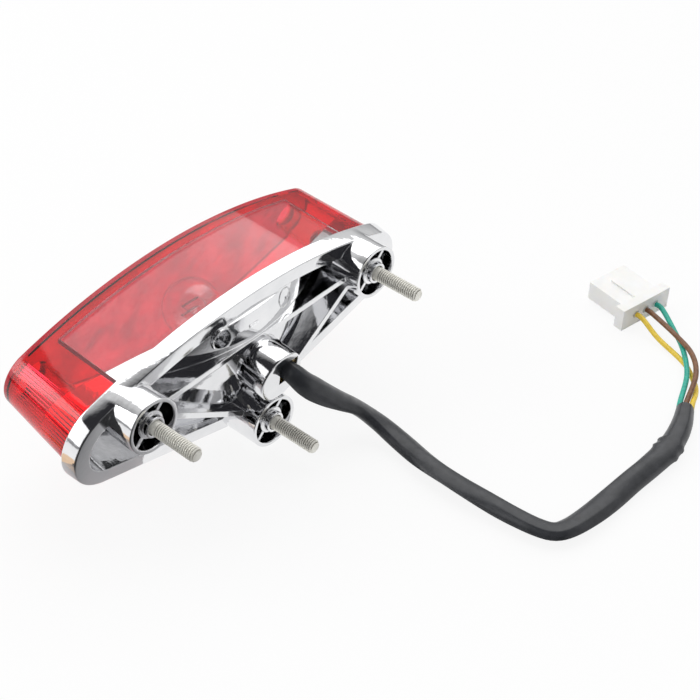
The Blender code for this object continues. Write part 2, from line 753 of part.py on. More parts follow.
plate_front = CONTACT_PLATE_Y + CONTACT_PLATE_THICKNESS
contact_plate = rod("contact_plate", socket_inner - GAP, CONTACT_PLATE_Y, plate_front, 0, BULB_Z)
keep(pitched(contact_plate), ((0.20, 0.10, 0.05), 0.45, 0.0))
button_start = plate_front + GAP
blob_start = button_start + CONTACT_HEIGHT + GAP
for name, sign in (("tail", -1), ("brake", 1)):
    button = rod(
        f"contact_{name}",
        CONTACT_RADIUS,
        button_start,
        button_start + CONTACT_HEIGHT,
        sign * CONTACT_OFFSET,
        BULB_Z,
        12,
    )
    keep(pitched(button), BRASS)


def spring_points():
    """Closing turns of a coil spring between the socket's back and the contact plate."""
    low = SOCKET_BACK + SOCKET_WALL + GAP + SPRING_WIRE / 2
    high = CONTACT_PLATE_Y - GAP - SPRING_WIRE / 2
    count = SPRING_TURNS * 10
    points = []
    for step in range(count + 1):
        turn = 2 * math.pi * SPRING_TURNS * step / count
        y = low + (high - low) * step / count
        points.append((SPRING_RADIUS * math.cos(turn), y, BULB_Z + SPRING_RADIUS * math.sin(turn)))
    return points


keep(pitched(solid_from(tube("spring_line", spring_points(), SPRING_WIRE / 2, 1), "contact_spring")), ZINC)
spring_pitch = (CONTACT_PLATE_Y - SOCKET_BACK - SOCKET_WALL - SPRING_WIRE - 2 * GAP) / SPRING_TURNS
print(f"spring: least gap between turns {1000 * (spring_pitch - SPRING_WIRE):.2f} mm")

# Bulb: brass bayonet base with two pins, glass globe, stem and two filaments

base_inner = BASE_RADIUS - BASE_WALL
base = turned(
    "bulb_base",
    [
        (0, BASE_BOTTOM),
        (BASE_RADIUS - 0.0006, BASE_BOTTOM),
        (BASE_RADIUS, BASE_BOTTOM + 0.0006),
        (BASE_RADIUS, BASE_TOP),
        (base_inner, BASE_TOP),
        (base_inner, BASE_BOTTOM + 0.0020),
        (0, BASE_BOTTOM + 0.0020),
    ],
    0,
    BULB_Z,
    BOSS_STEPS,
)
for side, start in (("upper", 90), ("lower", 270)):
    turn = Matrix.Translation((0, PIN_Y, BULB_Z)) @ Matrix.Rotation(math.radians(start), 4, "Y")
    middle = (base_inner + BASE_WALL / 2 + PIN_REACH) / 2
    depth = PIN_REACH - base_inner - BASE_WALL / 2
    place = turn @ Matrix.Translation((middle, 0, 0)) @ Matrix.Rotation(math.pi / 2, 4, "Y")

    def build_pin(bm, place=place, depth=depth):
        bmesh.ops.create_cone(
            bm, cap_ends=True, segments=12, radius1=PIN_RADIUS, radius2=PIN_RADIUS, depth=depth, matrix=place
        )

    join(base, helper(pitched(mesh_object(f"bulb_pin_{side}", build_pin))))
keep(pitched(base), BRASS)
for name, sign in (("tail", -1), ("brake", 1)):
    blob = rod(
        f"bulb_contact_{name}",
        CONTACT_RADIUS,
        blob_start,
        BASE_BOTTOM - GAP,
        sign * CONTACT_OFFSET,
        BULB_Z,
        12,
    )
    keep(pitched(blob), ZINC)


def globe_line(radius, neck, steps=9):
    """Half section of the globe from its tip to its neck, as (radius, y) points."""
    last = math.pi - math.asin(neck / radius)
    angles = [last * step / steps for step in range(1, steps + 1)]
    return [(radius * math.sin(a), GLOBE_Y + radius * math.cos(a)) for a in angles]


glass_start = BASE_TOP - 0.0060
inner_globe = GLOBE_RADIUS - GLASS_WALL
glass = turned(
    "bulb_glass",
    [(0, GLOBE_Y + GLOBE_RADIUS)]
    + globe_line(GLOBE_RADIUS, NECK_RADIUS)
    + [(NECK_RADIUS, glass_start), (NECK_RADIUS - GLASS_WALL, glass_start)]
    + list(reversed(globe_line(inner_globe, NECK_RADIUS - GLASS_WALL)))
    + [(0, GLOBE_Y + inner_globe)],
    0,
    BULB_Z,
)
keep(pitched(glass), GLASS)
stem = turned(
    "bulb_stem",
    [
        (0, STEM_TOP),
        (STEM_RADIUS * 0.45, STEM_TOP),
        (STEM_RADIUS * 0.55, STEM_TOP - 0.006),
        (STEM_RADIUS, glass_start + 0.002),
        (NECK_RADIUS - GLASS_WALL - GAP, glass_start),
        (0, glass_start),
    ],
    0,
    BULB_Z,
)
keep(pitched(stem), GLASS)
for name, sign in (("tail", -1), ("brake", 1)):
    foot = STEM_TOP + GAP + FILAMENT_WIRE
    z = BULB_Z + sign * FILAMENT_SPACING / 2
    root_z = BULB_Z + sign * STEM_RADIUS * 0.22
    route = [
        (-STEM_RADIUS * 0.25, foot, root_z),
        (-FILAMENT_HALF, FILAMENT_Y - 0.004, z),
        (-FILAMENT_HALF, FILAMENT_Y, z),
        (FILAMENT_HALF, FILAMENT_Y, z),
        (FILAMENT_HALF, FILAMENT_Y - 0.004, z),
        (STEM_RADIUS * 0.25, foot, root_z),
    ]
    keep(pitched(tube(f"filament_{name}", route, FILAMENT_WIRE, 1)), TUNGSTEN)

# Lead: three short leads inside the cable boss, the sleeve, then three wires to the connector

sleeve_bench = BENCH_Z + SLEEVE_RADIUS
sleeve_start = PITCH @ Vector((CABLE_HOLE_X, SOCKET_BOSS_END + 0.0012, CABLE_HOLE_Z))
sleeve_route = [
    sleeve_start,
    PITCH @ Vector((CABLE_HOLE_X, SOCKET_BOSS_END - 0.0036, CABLE_HOLE_Z)),
    (0.0056, -0.0122, -0.0164),
    (0.0108, -0.0150, -0.0222),
    (0.0185, -0.0175, -0.0300),
    (0.0262, -0.0208, -0.0376),
    (0.0306, -0.0280, -0.0440),
    (0.0312, -0.0395, sleeve_bench),
    (0.0292, -0.0540, sleeve_bench),
    (0.0282, -0.0700, sleeve_bench),
    (0.0284, -0.0850, sleeve_bench),
    (0.0306, -0.0985, sleeve_bench),
    (0.0364, -0.1100, sleeve_bench),
    (0.0470, -0.1165, sleeve_bench),
    (0.0600, -0.1182, sleeve_bench),
    (0.0730, -0.1195, sleeve_bench),
    (0.0860, -0.1216, sleeve_bench),
    (0.0980, -0.1218, sleeve_bench),
    (0.1085, -0.1198, sleeve_bench),
    (0.1170, -0.1170, sleeve_bench),
    (0.1245, -0.1136, sleeve_bench),
]
sleeve_points, sleeve_length = smooth_route(sleeve_route, 2 * SLEEVE_RADIUS)
keep(tube("cable_sleeve", sleeve_points, SLEEVE_RADIUS, 3), BLACK_RUBBER)
print(f"sleeve: {1000 * sleeve_length:.0f} mm")

connector_place = Matrix.Translation((CONNECTOR_X, CONNECTOR_Y, BENCH_Z)) @ Matrix.Rotation(
    math.radians(CONNECTOR_TURN), 4, "Z"
)
collar_back = -CONNECTOR_LENGTH / 2 - CONNECTOR_COLLAR_LENGTH
wire_bench = BENCH_Z + WIRE_RADIUS
connector_middle = CONNECTOR_COLLAR_HEIGHT / 2


def wire_entry(slot, back):
    """World place on the axis of a connector slot, back behind the connector's wire face."""
    return tuple(connector_place @ Vector((slot * TERMINAL_PITCH, collar_back - back, connector_middle)))


run_on = (sleeve_points[-1] - sleeve_points[-2]).normalized()
across = Vector((-run_on.y, run_on.x, 0))
mouth = sleeve_points[-1] + run_on * GAP
wire_spread = 2 * WIRE_RADIUS + 0.0002
routes = {
    "yellow": (
        -1,
        -1,
        [
            (0.1345, -0.1112, wire_bench + 0.0004),
            (0.1425, -0.1068, wire_bench),
            (0.1492, -0.0998, wire_bench),
            (0.1528, -0.0910, wire_bench),
            (0.1552, -0.0810, wire_bench + 0.0008),
        ],
    ),
    "brown": (
        0,
        0,
        [
            (0.1340, -0.1078, wire_bench + 0.0022),
            (0.1428, -0.1032, wire_bench + 0.0030),
            (0.1520, -0.0965, wire_bench + 0.0029),
            (0.1585, -0.0885, wire_bench + 0.0003),
            (0.1622, -0.0795, wire_bench + 0.0014),
        ],
    ),
    "green": (
        1,
        1,
        [
            (0.1326, -0.1050, wire_bench + 0.0026),
            (0.1414, -0.1002, wire_bench + 0.0035),
            (0.1508, -0.0932, wire_bench + 0.0036),
            (0.1590, -0.0858, wire_bench + 0.0038),
            (0.1656, -0.0780, wire_bench + 0.0038),
        ],
    ),
}
for colour, (side, slot, middle_points) in routes.items():
    begin = mouth + across * side * wire_spread
    begin_out = begin + run_on * 0.004
    route = [begin, begin_out, *middle_points, wire_entry(slot, 0.004), wire_entry(slot, GAP)]
    wire_points, wire_length = smooth_route(route, 5 * WIRE_RADIUS)
    look = {"green": (0.02, 0.30, 0.26), "brown": (0.20, 0.09, 0.04), "yellow": (0.72, 0.56, 0.06)}[colour]
    keep(tube(f"wire_{colour}", wire_points, WIRE_RADIUS, 2), (look, 0.40, 0.0))
    print(f"wire_{colour}: {1000 * wire_length:.0f} mm")

lead_mouth = Vector((CABLE_HOLE_X, SOCKET_BOSS_END + 0.0012 + 3 * GAP, CABLE_HOLE_Z))
lead_back = CONTACT_PLATE_Y - GAP
lead_ends = {
    "tail": ((-0.0016, 0, -0.0009), (-CONTACT_OFFSET, lead_back, BULB_Z + 0.0004)),
    "brake": ((0.0009, 0, -0.0010), (CONTACT_OFFSET, lead_back, BULB_Z - 0.0004)),
    "ground": ((-0.0003, 0, 0.0016), (0.0002, lead_back, BULB_Z + 0.0032)),
}
lead_colours = {"tail": (0.20, 0.09, 0.04), "brake": (0.72, 0.56, 0.06), "ground": (0.02, 0.30, 0.26)}
for name, (offset, end) in lead_ends.items():
    begin = lead_mouth + Vector(offset)
    end = Vector(end)
    route = [begin, begin + Vector((0, 0.002, 0)), end - Vector((0, 0.002, 0)), end]
    lead_points, lead_length = smooth_route(route, 2.5 * WIRE_RADIUS)
    keep(pitched(tube(f"lead_{name}", lead_points, WIRE_RADIUS, 2)), (lead_colours[name], 0.40, 0.0))

# Connector: three-way nylon housing with a collar on the wire side and a tab terminal in each cavity

body_low = (-CONNECTOR_WIDTH / 2, -CONNECTOR_LENGTH / 2, connector_middle - CONNECTOR_HEIGHT / 2)
body_high = (CONNECTOR_WIDTH / 2, CONNECTOR_LENGTH / 2, connector_middle + CONNECTOR_HEIGHT / 2)
connector = block("connector", body_low, body_high, connector_place)
collar_low = (-CONNECTOR_COLLAR_WIDTH / 2, collar_back, 0)
collar_high = (CONNECTOR_COLLAR_WIDTH / 2, -CONNECTOR_LENGTH / 2 + 0.0004, CONNECTOR_COLLAR_HEIGHT)
join(connector, helper(block("connector_collar", collar_low, collar_high, connector_place)))
latch_top = body_high[2] + 0.0016
latch_low = (-0.0028, -CONNECTOR_LENGTH / 2, body_high[2] - 0.0004)
join(connector, helper(block("latch", latch_low, (0.0028, 0.0050, latch_top), connector_place)))
for slot, colour in ((-1, "yellow"), (0, "brown"), (1, "green")):
    x = slot * TERMINAL_PITCH
    front = CONNECTOR_LENGTH / 2
    cavity_low = (x - CAVITY_WIDTH / 2, front - CAVITY_DEPTH, connector_middle - CAVITY_HEIGHT / 2)
    cavity_high = (x + CAVITY_WIDTH / 2, front + 0.001, connector_middle + CAVITY_HEIGHT / 2)
    cut(connector, helper(block(f"cavity_{colour}", cavity_low, cavity_high, connector_place)))
    tab_start = front - CAVITY_DEPTH + GAP
    tab_low = (x - TERMINAL_WIDTH / 2, tab_start, connector_middle - TERMINAL_THICKNESS / 2)
    tab_top = connector_middle + TERMINAL_THICKNESS / 2
    tab_high = (x + TERMINAL_WIDTH / 2, tab_start + TERMINAL_LENGTH, tab_top)
    keep(block(f"terminal_{colour}", tab_low, tab_high, connector_place), BRASS)
keep(connector, ((0.86, 0.84, 0.78), 0.45, 0.0))
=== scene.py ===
import math

import bmesh
import bpy
from mathutils import Matrix, Vector


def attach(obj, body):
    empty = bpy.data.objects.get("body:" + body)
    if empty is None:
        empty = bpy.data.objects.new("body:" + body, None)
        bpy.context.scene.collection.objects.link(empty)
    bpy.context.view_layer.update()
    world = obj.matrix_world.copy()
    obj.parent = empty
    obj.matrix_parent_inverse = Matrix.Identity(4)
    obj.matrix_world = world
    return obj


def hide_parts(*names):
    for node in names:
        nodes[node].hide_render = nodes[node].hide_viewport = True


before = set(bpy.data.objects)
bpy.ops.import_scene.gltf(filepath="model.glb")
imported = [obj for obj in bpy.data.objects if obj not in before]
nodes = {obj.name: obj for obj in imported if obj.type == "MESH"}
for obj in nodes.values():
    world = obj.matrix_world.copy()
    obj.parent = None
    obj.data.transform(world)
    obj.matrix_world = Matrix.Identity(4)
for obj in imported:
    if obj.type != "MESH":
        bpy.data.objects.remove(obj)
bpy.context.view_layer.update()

# Bench and studio: the light lies on a seamless white table, under a broad soft box up and to the right.
# The room behind the camera is dark. Two cards and a side lamp are seen only in reflections, and a fill
# lamp never is. The camera stands behind the light and to its left, as in the photograph.
BENCH_Z, BENCH_REACH, BENCH_CLEARANCE, BENCH_GLOW = -0.0517, 8.0, 0.0002, 0.88
COLOUR_A, COLOUR_B, COLOUR_MIXED = 6, 7, 2  # sockets of a colour mix


def finish(name, **sockets):
    """A material whose plain shader sockets are set by name, spaces written as underscores."""
    material = bpy.data.materials.new(name)
    material.use_nodes = True
    shader = material.node_tree.nodes["Principled BSDF"]
    for socket, value in sockets.items():
        shader.inputs[socket.replace("_", " ")].default_value = value
    return material, material.node_tree, shader


def grain(tree, scale, detail=3.0, stretch=(1, 1, 1)):
    """Noise in the piece's own metres; scale is in patches per metre."""
    place = tree.nodes.new("ShaderNodeTexCoord")
    mapping = tree.nodes.new("ShaderNodeMapping")
    mapping.inputs["Scale"].default_value = stretch
    texture = tree.nodes.new("ShaderNodeTexNoise")
    texture.inputs["Scale"].default_value = scale
    texture.inputs["Detail"].default_value = detail
    tree.links.new(place.outputs["Object"], mapping.inputs["Vector"])
    tree.links.new(mapping.outputs["Vector"], texture.inputs["Vector"])
    return texture.outputs["Fac"]


def spread(tree, value, low, high, start=0.3, end=0.7):
    """A number that runs from low to high as value runs from start to end."""
    node = tree.nodes.new("ShaderNodeMapRange")
    for socket, number in zip(("From Min", "From Max", "To Min", "To Max"), (start, end, low, high)):
        node.inputs[socket].default_value = number
    tree.links.new(value, node.inputs["Value"])
    return node.outputs["Result"]


def shades(tree, value, *stops):
    """A colour from stops of (place, red, green, blue)."""
    node = tree.nodes.new("ShaderNodeValToRGB")
    ramp = node.color_ramp
    while len(ramp.elements) < len(stops):
        ramp.elements.new(0.5)
    for element, (place, *colour) in zip(ramp.elements, stops):
        element.position = place
        element.color = (*colour, 1)
    tree.links.new(value, node.inputs["Fac"])
    return node.outputs["Color"]


def coloured(tree, shader, value, *stops):
    """Base colour that changes with a value, from stops of (place, red, green, blue)."""
    tree.links.new(shades(tree, value, *stops), shader.inputs["Base Color"])


def worn(tree, shader, value, low, high):
    """Roughness that changes with a value, between low and high."""
    tree.links.new(spread(tree, value, low, high), shader.inputs["Roughness"])


def seen_directly(tree):
    """One where a ray comes from the camera, a mirror or glass, so all three see the same white."""
    path = tree.nodes.new("ShaderNodeLightPath")
    either = path.outputs["Is Camera Ray"]
    for ray in ("Is Glossy Ray", "Is Transmission Ray"):
        join = tree.nodes.new("ShaderNodeMath")
        join.operation = "MAXIMUM"
        tree.links.new(either, join.inputs[0])
        tree.links.new(path.outputs[ray], join.inputs[1])
        either = join.outputs[0]
    return either


def sheet(name, points, look):
    """A thin sheet from pairs of points along it."""
    mesh = bpy.data.meshes.new(name)
    faces = [(pair, pair + 1, pair + 3, pair + 2) for pair in range(0, len(points) - 2, 2)]
    mesh.from_pydata(points, [], faces)
    made = bpy.data.objects.new(name, mesh)
    made.data.materials.append(look)
    bpy.context.scene.collection.objects.link(made)
    return made


bench_look, tree, shader = finish("bench_paper", Base_Color=(0.90, 0.90, 0.90, 1), Roughness=0.9)
worn(tree, shader, grain(tree, 60), 0.85, 0.95)
glow = tree.nodes.new("ShaderNodeEmission")
blend = tree.nodes.new("ShaderNodeMixShader")
share = tree.nodes.new("ShaderNodeMath")
share.operation = "MULTIPLY"
share.inputs[1].default_value = BENCH_GLOW
tree.links.new(seen_directly(tree), share.inputs[0])
tree.links.new(share.outputs[0], blend.inputs["Fac"])
tree.links.new(shader.outputs["BSDF"], blend.inputs[1])
tree.links.new(glow.outputs["Emission"], blend.inputs[2])
tree.links.new(blend.outputs["Shader"], tree.nodes["Material Output"].inputs["Surface"])
bench_ends = (-BENCH_REACH, BENCH_REACH)
corners = [(x, y, BENCH_Z - BENCH_CLEARANCE) for y in bench_ends for x in bench_ends]
bench = sheet("bench", corners, bench_look)

WORLD_STRENGTH, BEHIND_CAMERA = 0.72, (-0.57, -0.50, 0.65)
world = bpy.data.worlds.new("studio")
bpy.context.scene.world = world
world.use_nodes = True
tree = world.node_tree
direction = tree.nodes.new("ShaderNodeTexCoord")
height = tree.nodes.new("ShaderNodeSeparateXYZ")
tree.links.new(direction.outputs["Generated"], height.inputs["Vector"])
sky = shades(tree, height.outputs["Z"], (0.02, 0.40, 0.40, 0.41), (0.32, 1, 1, 1))
towards = tree.nodes.new("ShaderNodeVectorMath")
towards.operation = "DOT_PRODUCT"
towards.inputs[1].default_value = BEHIND_CAMERA
tree.links.new(direction.outputs["Generated"], towards.inputs[0])
dark_side = shades(tree, towards.outputs["Value"], (0.51, 1, 1, 1), (0.71, 0.04, 0.04, 0.045))
both = tree.nodes.new("ShaderNodeMix")
both.data_type = "RGBA"
both.blend_type = "MULTIPLY"
both.inputs["Factor"].default_value = 1.0
tree.links.new(sky, both.inputs[COLOUR_A])
tree.links.new(dark_side, both.inputs[COLOUR_B])
tree.links.new(both.outputs[COLOUR_MIXED], tree.nodes["Background"].inputs["Color"])
tree.nodes["Background"].inputs["Strength"].default_value = WORLD_STRENGTH


def hidden_from(made, *rays):
    """Keeps some kinds of rays from seeing a lamp or a card."""
    for ray in rays:
        setattr(made, f"visible_{ray}", False)


def soft_box(name, place, target, size, watts):
    """A lamp behind a sheet of a given size, facing a target."""
    lamp = bpy.data.lights.new(name, "AREA")
    lamp.shape = "RECTANGLE"
    lamp.size, lamp.size_y = size
    lamp.energy = watts
    made = bpy.data.objects.new(name, lamp)
    made.location = place
    made.rotation_euler = (Vector(target) - Vector(place)).to_track_quat("-Z", "Y").to_euler()
    bpy.context.scene.collection.objects.link(made)
    return made


soft_box("overhead_box", (0.60, 0.36, 0.98), (0.05, 0.0, -0.03), size=(1.7, 1.4), watts=9.0)
soft_box("back_box", (-0.45, 0.70, 0.55), (0.0, 0.0, -0.02), size=(0.6, 0.5), watts=2.5)
fill_box = soft_box("fill_box", (-0.45, -0.42, 0.52), (0.03, -0.02, -0.03), size=(0.7, 0.5), watts=1.9)
hidden_from(fill_box, "glossy", "transmission")
side_box = soft_box("side_box", (-0.62, 0.40, 0.36), (-0.06, 0.02, 0.0), size=(1.0, 0.60), watts=2.2)
hidden_from(side_box, "diffuse", "transmission")


def reflected_card(name, points, look):
    """A card seen only in reflections, from pairs of points along it."""
    made = sheet(name, points, look)
    hidden_from(made, "camera", "diffuse", "shadow", "transmission")


CARD_AWAY, CARD_ALONG = Vector((-0.754, -0.657, 0)), Vector((0.657, -0.754, 0))
CARD_NEAR, CARD_BLACK, CARD_Z = 0.026, 0.085, BENCH_Z + 0.0005
card_look, tree, shader = finish("black_card", Roughness=0.8)
card_place = tree.nodes.new("ShaderNodeTexCoord")
card_out = tree.nodes.new("ShaderNodeVectorMath")
card_out.operation = "DOT_PRODUCT"
card_out.inputs[1].default_value = CARD_AWAY
tree.links.new(card_place.outputs["Object"], card_out.inputs[0])
fade = spread(tree, card_out.outputs["Value"], 0, 1, CARD_NEAR, CARD_BLACK)
pale, grey, black = (0.0, 0.88, 0.88, 0.89), (0.42, 0.52, 0.52, 0.53), (1.0, 0.012, 0.012, 0.013)
coloured(tree, shader, fade, pale, grey, black)
card_rows = ((CARD_NEAR, -0.11, 0.12, CARD_Z), (0.075, -0.12, 0.13, CARD_Z), (0.42, -0.22, 0.20, 0.10))
card_points = []
for out, left, right, z in card_rows:
    card_points += [CARD_AWAY * out + CARD_ALONG * side + Vector((0, 0, z)) for side in (left, right)]
reflected_card("card", card_points, card_look)
warm_look, tree, shader = finish("warm_card", Roughness=0.8)
coloured(tree, shader, grain(tree, 40), (0.3, 0.80, 0.56, 0.36), (0.7, 0.86, 0.63, 0.43))
warm_points = [(-0.165, 0.005), (-0.105, 0.020), (-0.175, 0.070), (-0.115, 0.085)]
reflected_card("warm_card", [(x, y, CARD_Z) for x, y in warm_points], warm_look)

CAMERA_PLACE, CAMERA_LENS, CAMERA_SENSOR = (-0.3056, -0.3054, 0.3708), 77.04, 36.0
view_forward = Vector((0.5705, 0.4968, -0.6541)).normalized()
view_right = view_forward.cross(Vector((0.4834, 0.4407, 0.7563))).normalized()
view_up = view_right.cross(view_forward)
camera = bpy.data.cameras.new("camera")
camera.sensor_width = CAMERA_SENSOR
camera.lens = CAMERA_LENS
camera.clip_start = 0.01
camera_object = bpy.data.objects.new("camera", camera)
facing = Matrix((view_right, view_up, -view_forward)).transposed().to_4x4()
camera_object.matrix_world = Matrix.Translation(CAMERA_PLACE) @ facing
bpy.context.scene.collection.objects.link(camera_object)
bpy.context.scene.camera = camera_object
bpy.context.scene.view_settings.view_transform = "Standard"

# Housing: one ABS moulding, chromed all over, that is base, rim and reflector in one. The dished
# reflector shows behind as the dome between three hollow stud bosses tied by a web and two ribs;
# its wings rise inside the lens at both ends. The lens sits in a groove in the rim.
GAP = 0.0003
PIVOT, PITCH_ANGLE = Vector((0, 0.0200, -0.0160)), math.radians(8.2)
PITCH = Matrix.Translation(PIVOT) @ Matrix.Rotation(PITCH_ANGLE, 4, "X") @ Matrix.Translation(-PIVOT)
RIM_TOP, RIM_BOTTOM = 0.0220, -0.0514
END_X, END_Z, END_RADIUS, BOTTOM_RADIUS = 0.0679, -0.0106, 0.0200, 0.0324
SEAM_Y, FLANGE_Y, ROOT_Y, WALL = 0.0214, 0.0142, 0.0196, 0.0022
FLANGE_INSET, POCKET_INSET = 0.0072, 0.0100
TOWER_INSET, TOWER_TOP = 0.0078, 0.0400
WING_SLOPE, WING_REACH = 0.42, 0.0900
GROOVE_INSET, GROOVE_BOTTOM, LENS_WALL = 0.0024, 0.0170, 0.0025
BULB_Z, DOME_Y, DOME_FOCUS, DOME_RADIUS = -0.0102, 0.0090, 0.0385, 0.0400
STUD_X, STUD_DROP, BOSS_RADIUS = 0.0605, 0.0400, 0.0115
SOCKET_BOSS_END, CABLE_HOLE = -0.0042, Vector((0.0035, 0, -0.0086))
end_drop = END_Z - RIM_TOP
TOP_RADIUS = (END_RADIUS**2 - END_X**2 - end_drop**2) / (2 * (end_drop + END_RADIUS))
TOP_CENTRE = RIM_TOP - TOP_RADIUS
BOTTOM_CENTRE = RIM_BOTTOM + BOTTOM_RADIUS
TOP_STEPS, END_STEPS, FLANK_STEPS, BOTTOM_STEPS = 48, 40, 10, 20


def rim_outline(inset, end_steps=END_STEPS, flute=0.0, flutes=24):
    """The rim's outline drawn in by inset, as (x, z) points; flute ripples the end arcs inwards."""
    top = math.atan2(END_Z - TOP_CENTRE, END_X)
    rise = END_Z - BOTTOM_CENTRE
    flank = math.atan2(rise, END_X) - math.acos((BOTTOM_RADIUS - END_RADIUS) / math.hypot(END_X, rise))
    radius = TOP_RADIUS - inset
    points = []
    for step in range(TOP_STEPS):
        angle = math.pi - top + (2 * top - math.pi) * step / TOP_STEPS
        points.append((radius * math.cos(angle), TOP_CENTRE + radius * math.sin(angle)))
    right = []
    for step in range(end_steps + 1):
        share = step / end_steps
        angle = top + (flank - top) * share
        ripple = flute * (0.5 - 0.5 * math.cos(2 * math.pi * flutes * share))
        radius = END_RADIUS - inset - ripple
        right.append((END_X + radius * math.cos(angle), END_Z + radius * math.sin(angle)))
    low = BOTTOM_RADIUS - inset
    under = []
    for step in range(BOTTOM_STEPS + 1):
        angle = flank + (-math.pi - 2 * flank) * step / BOTTOM_STEPS
        under.append((low * math.cos(angle), BOTTOM_CENTRE + low * math.sin(angle)))
    start, end = Vector(right[-1]), Vector(under[0])
    half = right + [start.lerp(end, step / FLANK_STEPS)[:] for step in range(1, FLANK_STEPS)]
    return points + half + under + [(-x, z) for x, z in reversed(half[1:])]


def rim_rings(stations, end_steps=END_STEPS):
    """Rings of the rim's outline at stations of (inset, y), or (inset, y, flute)."""
    return [[(x, y, z) for x, z in rim_outline(inset, end_steps, *flute)] for inset, y, *flute in stations]


def rounded(line, radius, steps=3):
    """A polyline with its corners replaced by short arcs; the two ends stay."""
    places = [Vector(point) for point in line]
    made = [places[0]]
    for before, corner, after in zip(places, places[1:], places[2:]):
        back, on = before - corner, after - corner
        start = corner + back * min(0.45, radius / back.length)
        end = corner + on * min(0.45, radius / on.length)
        for step in range(steps + 1):
            t = step / steps
            made.append(start * (1 - t) ** 2 + corner * 2 * t * (1 - t) + end * t**2)
    made.append(places[-1])
    return [tuple(point) for point in made]


def piece(name, points, faces):
    """A mesh object with its faces turned outwards."""
    mesh = bpy.data.meshes.new(name)
    mesh.from_pydata([tuple(point) for point in points], [], faces)
    bm = bmesh.new()
    bm.from_mesh(mesh)
    bmesh.ops.recalc_face_normals(bm, faces=bm.faces)
    bm.to_mesh(mesh)
    bm.free()
    made = bpy.data.objects.new(name, mesh)
    bpy.context.scene.collection.objects.link(made)
    return made


def skinned(name, rings, closed=False):
    """A solid through rings of the same count, capped at its ends, or closed on itself."""
    count = len(rings[0])
    points = [point for ring in rings for point in ring]
    faces = []
    for row in range(len(rings) if closed else len(rings) - 1):
        here, there = row * count, (row + 1) % len(rings) * count
        for step in range(count):
            after = (step + 1) % count
            faces.append((here + step, here + after, there + after, there + step))
    if not closed:
        faces += [tuple(range(count)), tuple(range(len(points) - count, len(points)))]
    return piece(name, points, faces)


def turned(name, profile, x=0.0, z=0.0, steps=72):
    """A solid turned about an axis along Y, from (radius, y) points that start and end on it."""
    rings = []
    for radius, y in profile[1:-1]:
        angles = [2 * math.pi * step / steps for step in range(steps)]
        rings.append([(x + radius * math.cos(a), y, z + radius * math.sin(a)) for a in angles])
    points = [point for ring in rings for point in ring]
    first, last = len(points), len(points) + 1
    points += [(x, profile[0][1], z), (x, profile[-1][1], z)]
    faces = []
    for row in range(len(rings) - 1):
        here, there = row * steps, (row + 1) * steps
        for step in range(steps):
            after = (step + 1) % steps
            faces.append((here + step, here + after, there + after, there + step))
    tail = (len(rings) - 1) * steps
    for step in range(steps):
        after = (step + 1) % steps
        faces += [(first, step, after), (last, tail + step, tail + after)]
    return piece(name, points, faces)


def rod(radius, start, end):
    """Half section of a plain cylinder between two depths."""
    return [(0, start), (radius, start), (radius, end), (0, end)]


def block(name, low, high, place=Matrix()):
    """A box between two corners, moved to a place."""
    corners = [(x, y, z) for x in (low[0], high[0]) for y in (low[1], high[1]) for z in (low[2], high[2])]
    faces = [(0, 1, 3, 2), (4, 6, 7, 5), (0, 4, 5, 1), (2, 3, 7, 6), (0, 2, 6, 4), (1, 5, 7, 3)]
    return piece(name, [place @ Vector(corner) for corner in corners], faces)


def spun(x, z, angle):
    """A place on the back, turned about Y."""
    return Matrix.Translation((x, 0, z)) @ Matrix.Rotation(angle, 4, "Y")


def pitched(made):
    """Turns a piece drawn square on the lens axis to the lens's pitch."""
    made.data.transform(PITCH)
    return made


def shaped(target, operation, *tools):
    """Joins tools to a piece or cuts them from it, and uses them up."""
    for tool in tools:
        step = target.modifiers.new("shape", "BOOLEAN")
        step.operation, step.solver, step.object = operation, "MANIFOLD", tool
        whole = target.evaluated_get(bpy.context.evaluated_depsgraph_get())
        mesh = bpy.data.meshes.new_from_object(whole)
        target.modifiers.clear()
        target.data = mesh
        bpy.data.objects.remove(tool)
    return target


def dressed(made, look, slot, *replaced, body="light", sharp=38):
    """Gives a piece its finish, its body and the part it stands for."""
    made.data.materials.clear()
    made.data.materials.append(look)
    if made.type == "MESH":
        made.data.shade_smooth()
        made.data.set_sharp_from_angle(angle=math.radians(sharp))
    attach(made, body)
    if replaced:
        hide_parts(*replaced)
    return made


def reflector_line(offset, steps=24):
    """Half section of the reflector from the bulb's axis outwards: a parabola, then a straight wing."""
    radii = [DOME_RADIUS * step / steps for step in range(steps + 1)]
    line = [(radius, DOME_Y + offset + radius**2 / (4 * DOME_FOCUS)) for radius in radii]
    return line + [(WING_REACH, line[-1][1] + WING_SLOPE * (WING_REACH - DOME_RADIUS))]


CUTTER_END_STEPS, CUTTER_STEPS = 37, 120


def hollow(name, line, stations):
    """A cutter turned about the bulb's axis, kept within stations of the rim's outline."""
    made = turned(name, line, 0, BULB_Z, CUTTER_STEPS)
    limit = skinned(name + "_limit", rim_rings(stations, CUTTER_END_STEPS))
    return pitched(shaped(made, "INTERSECT", limit))


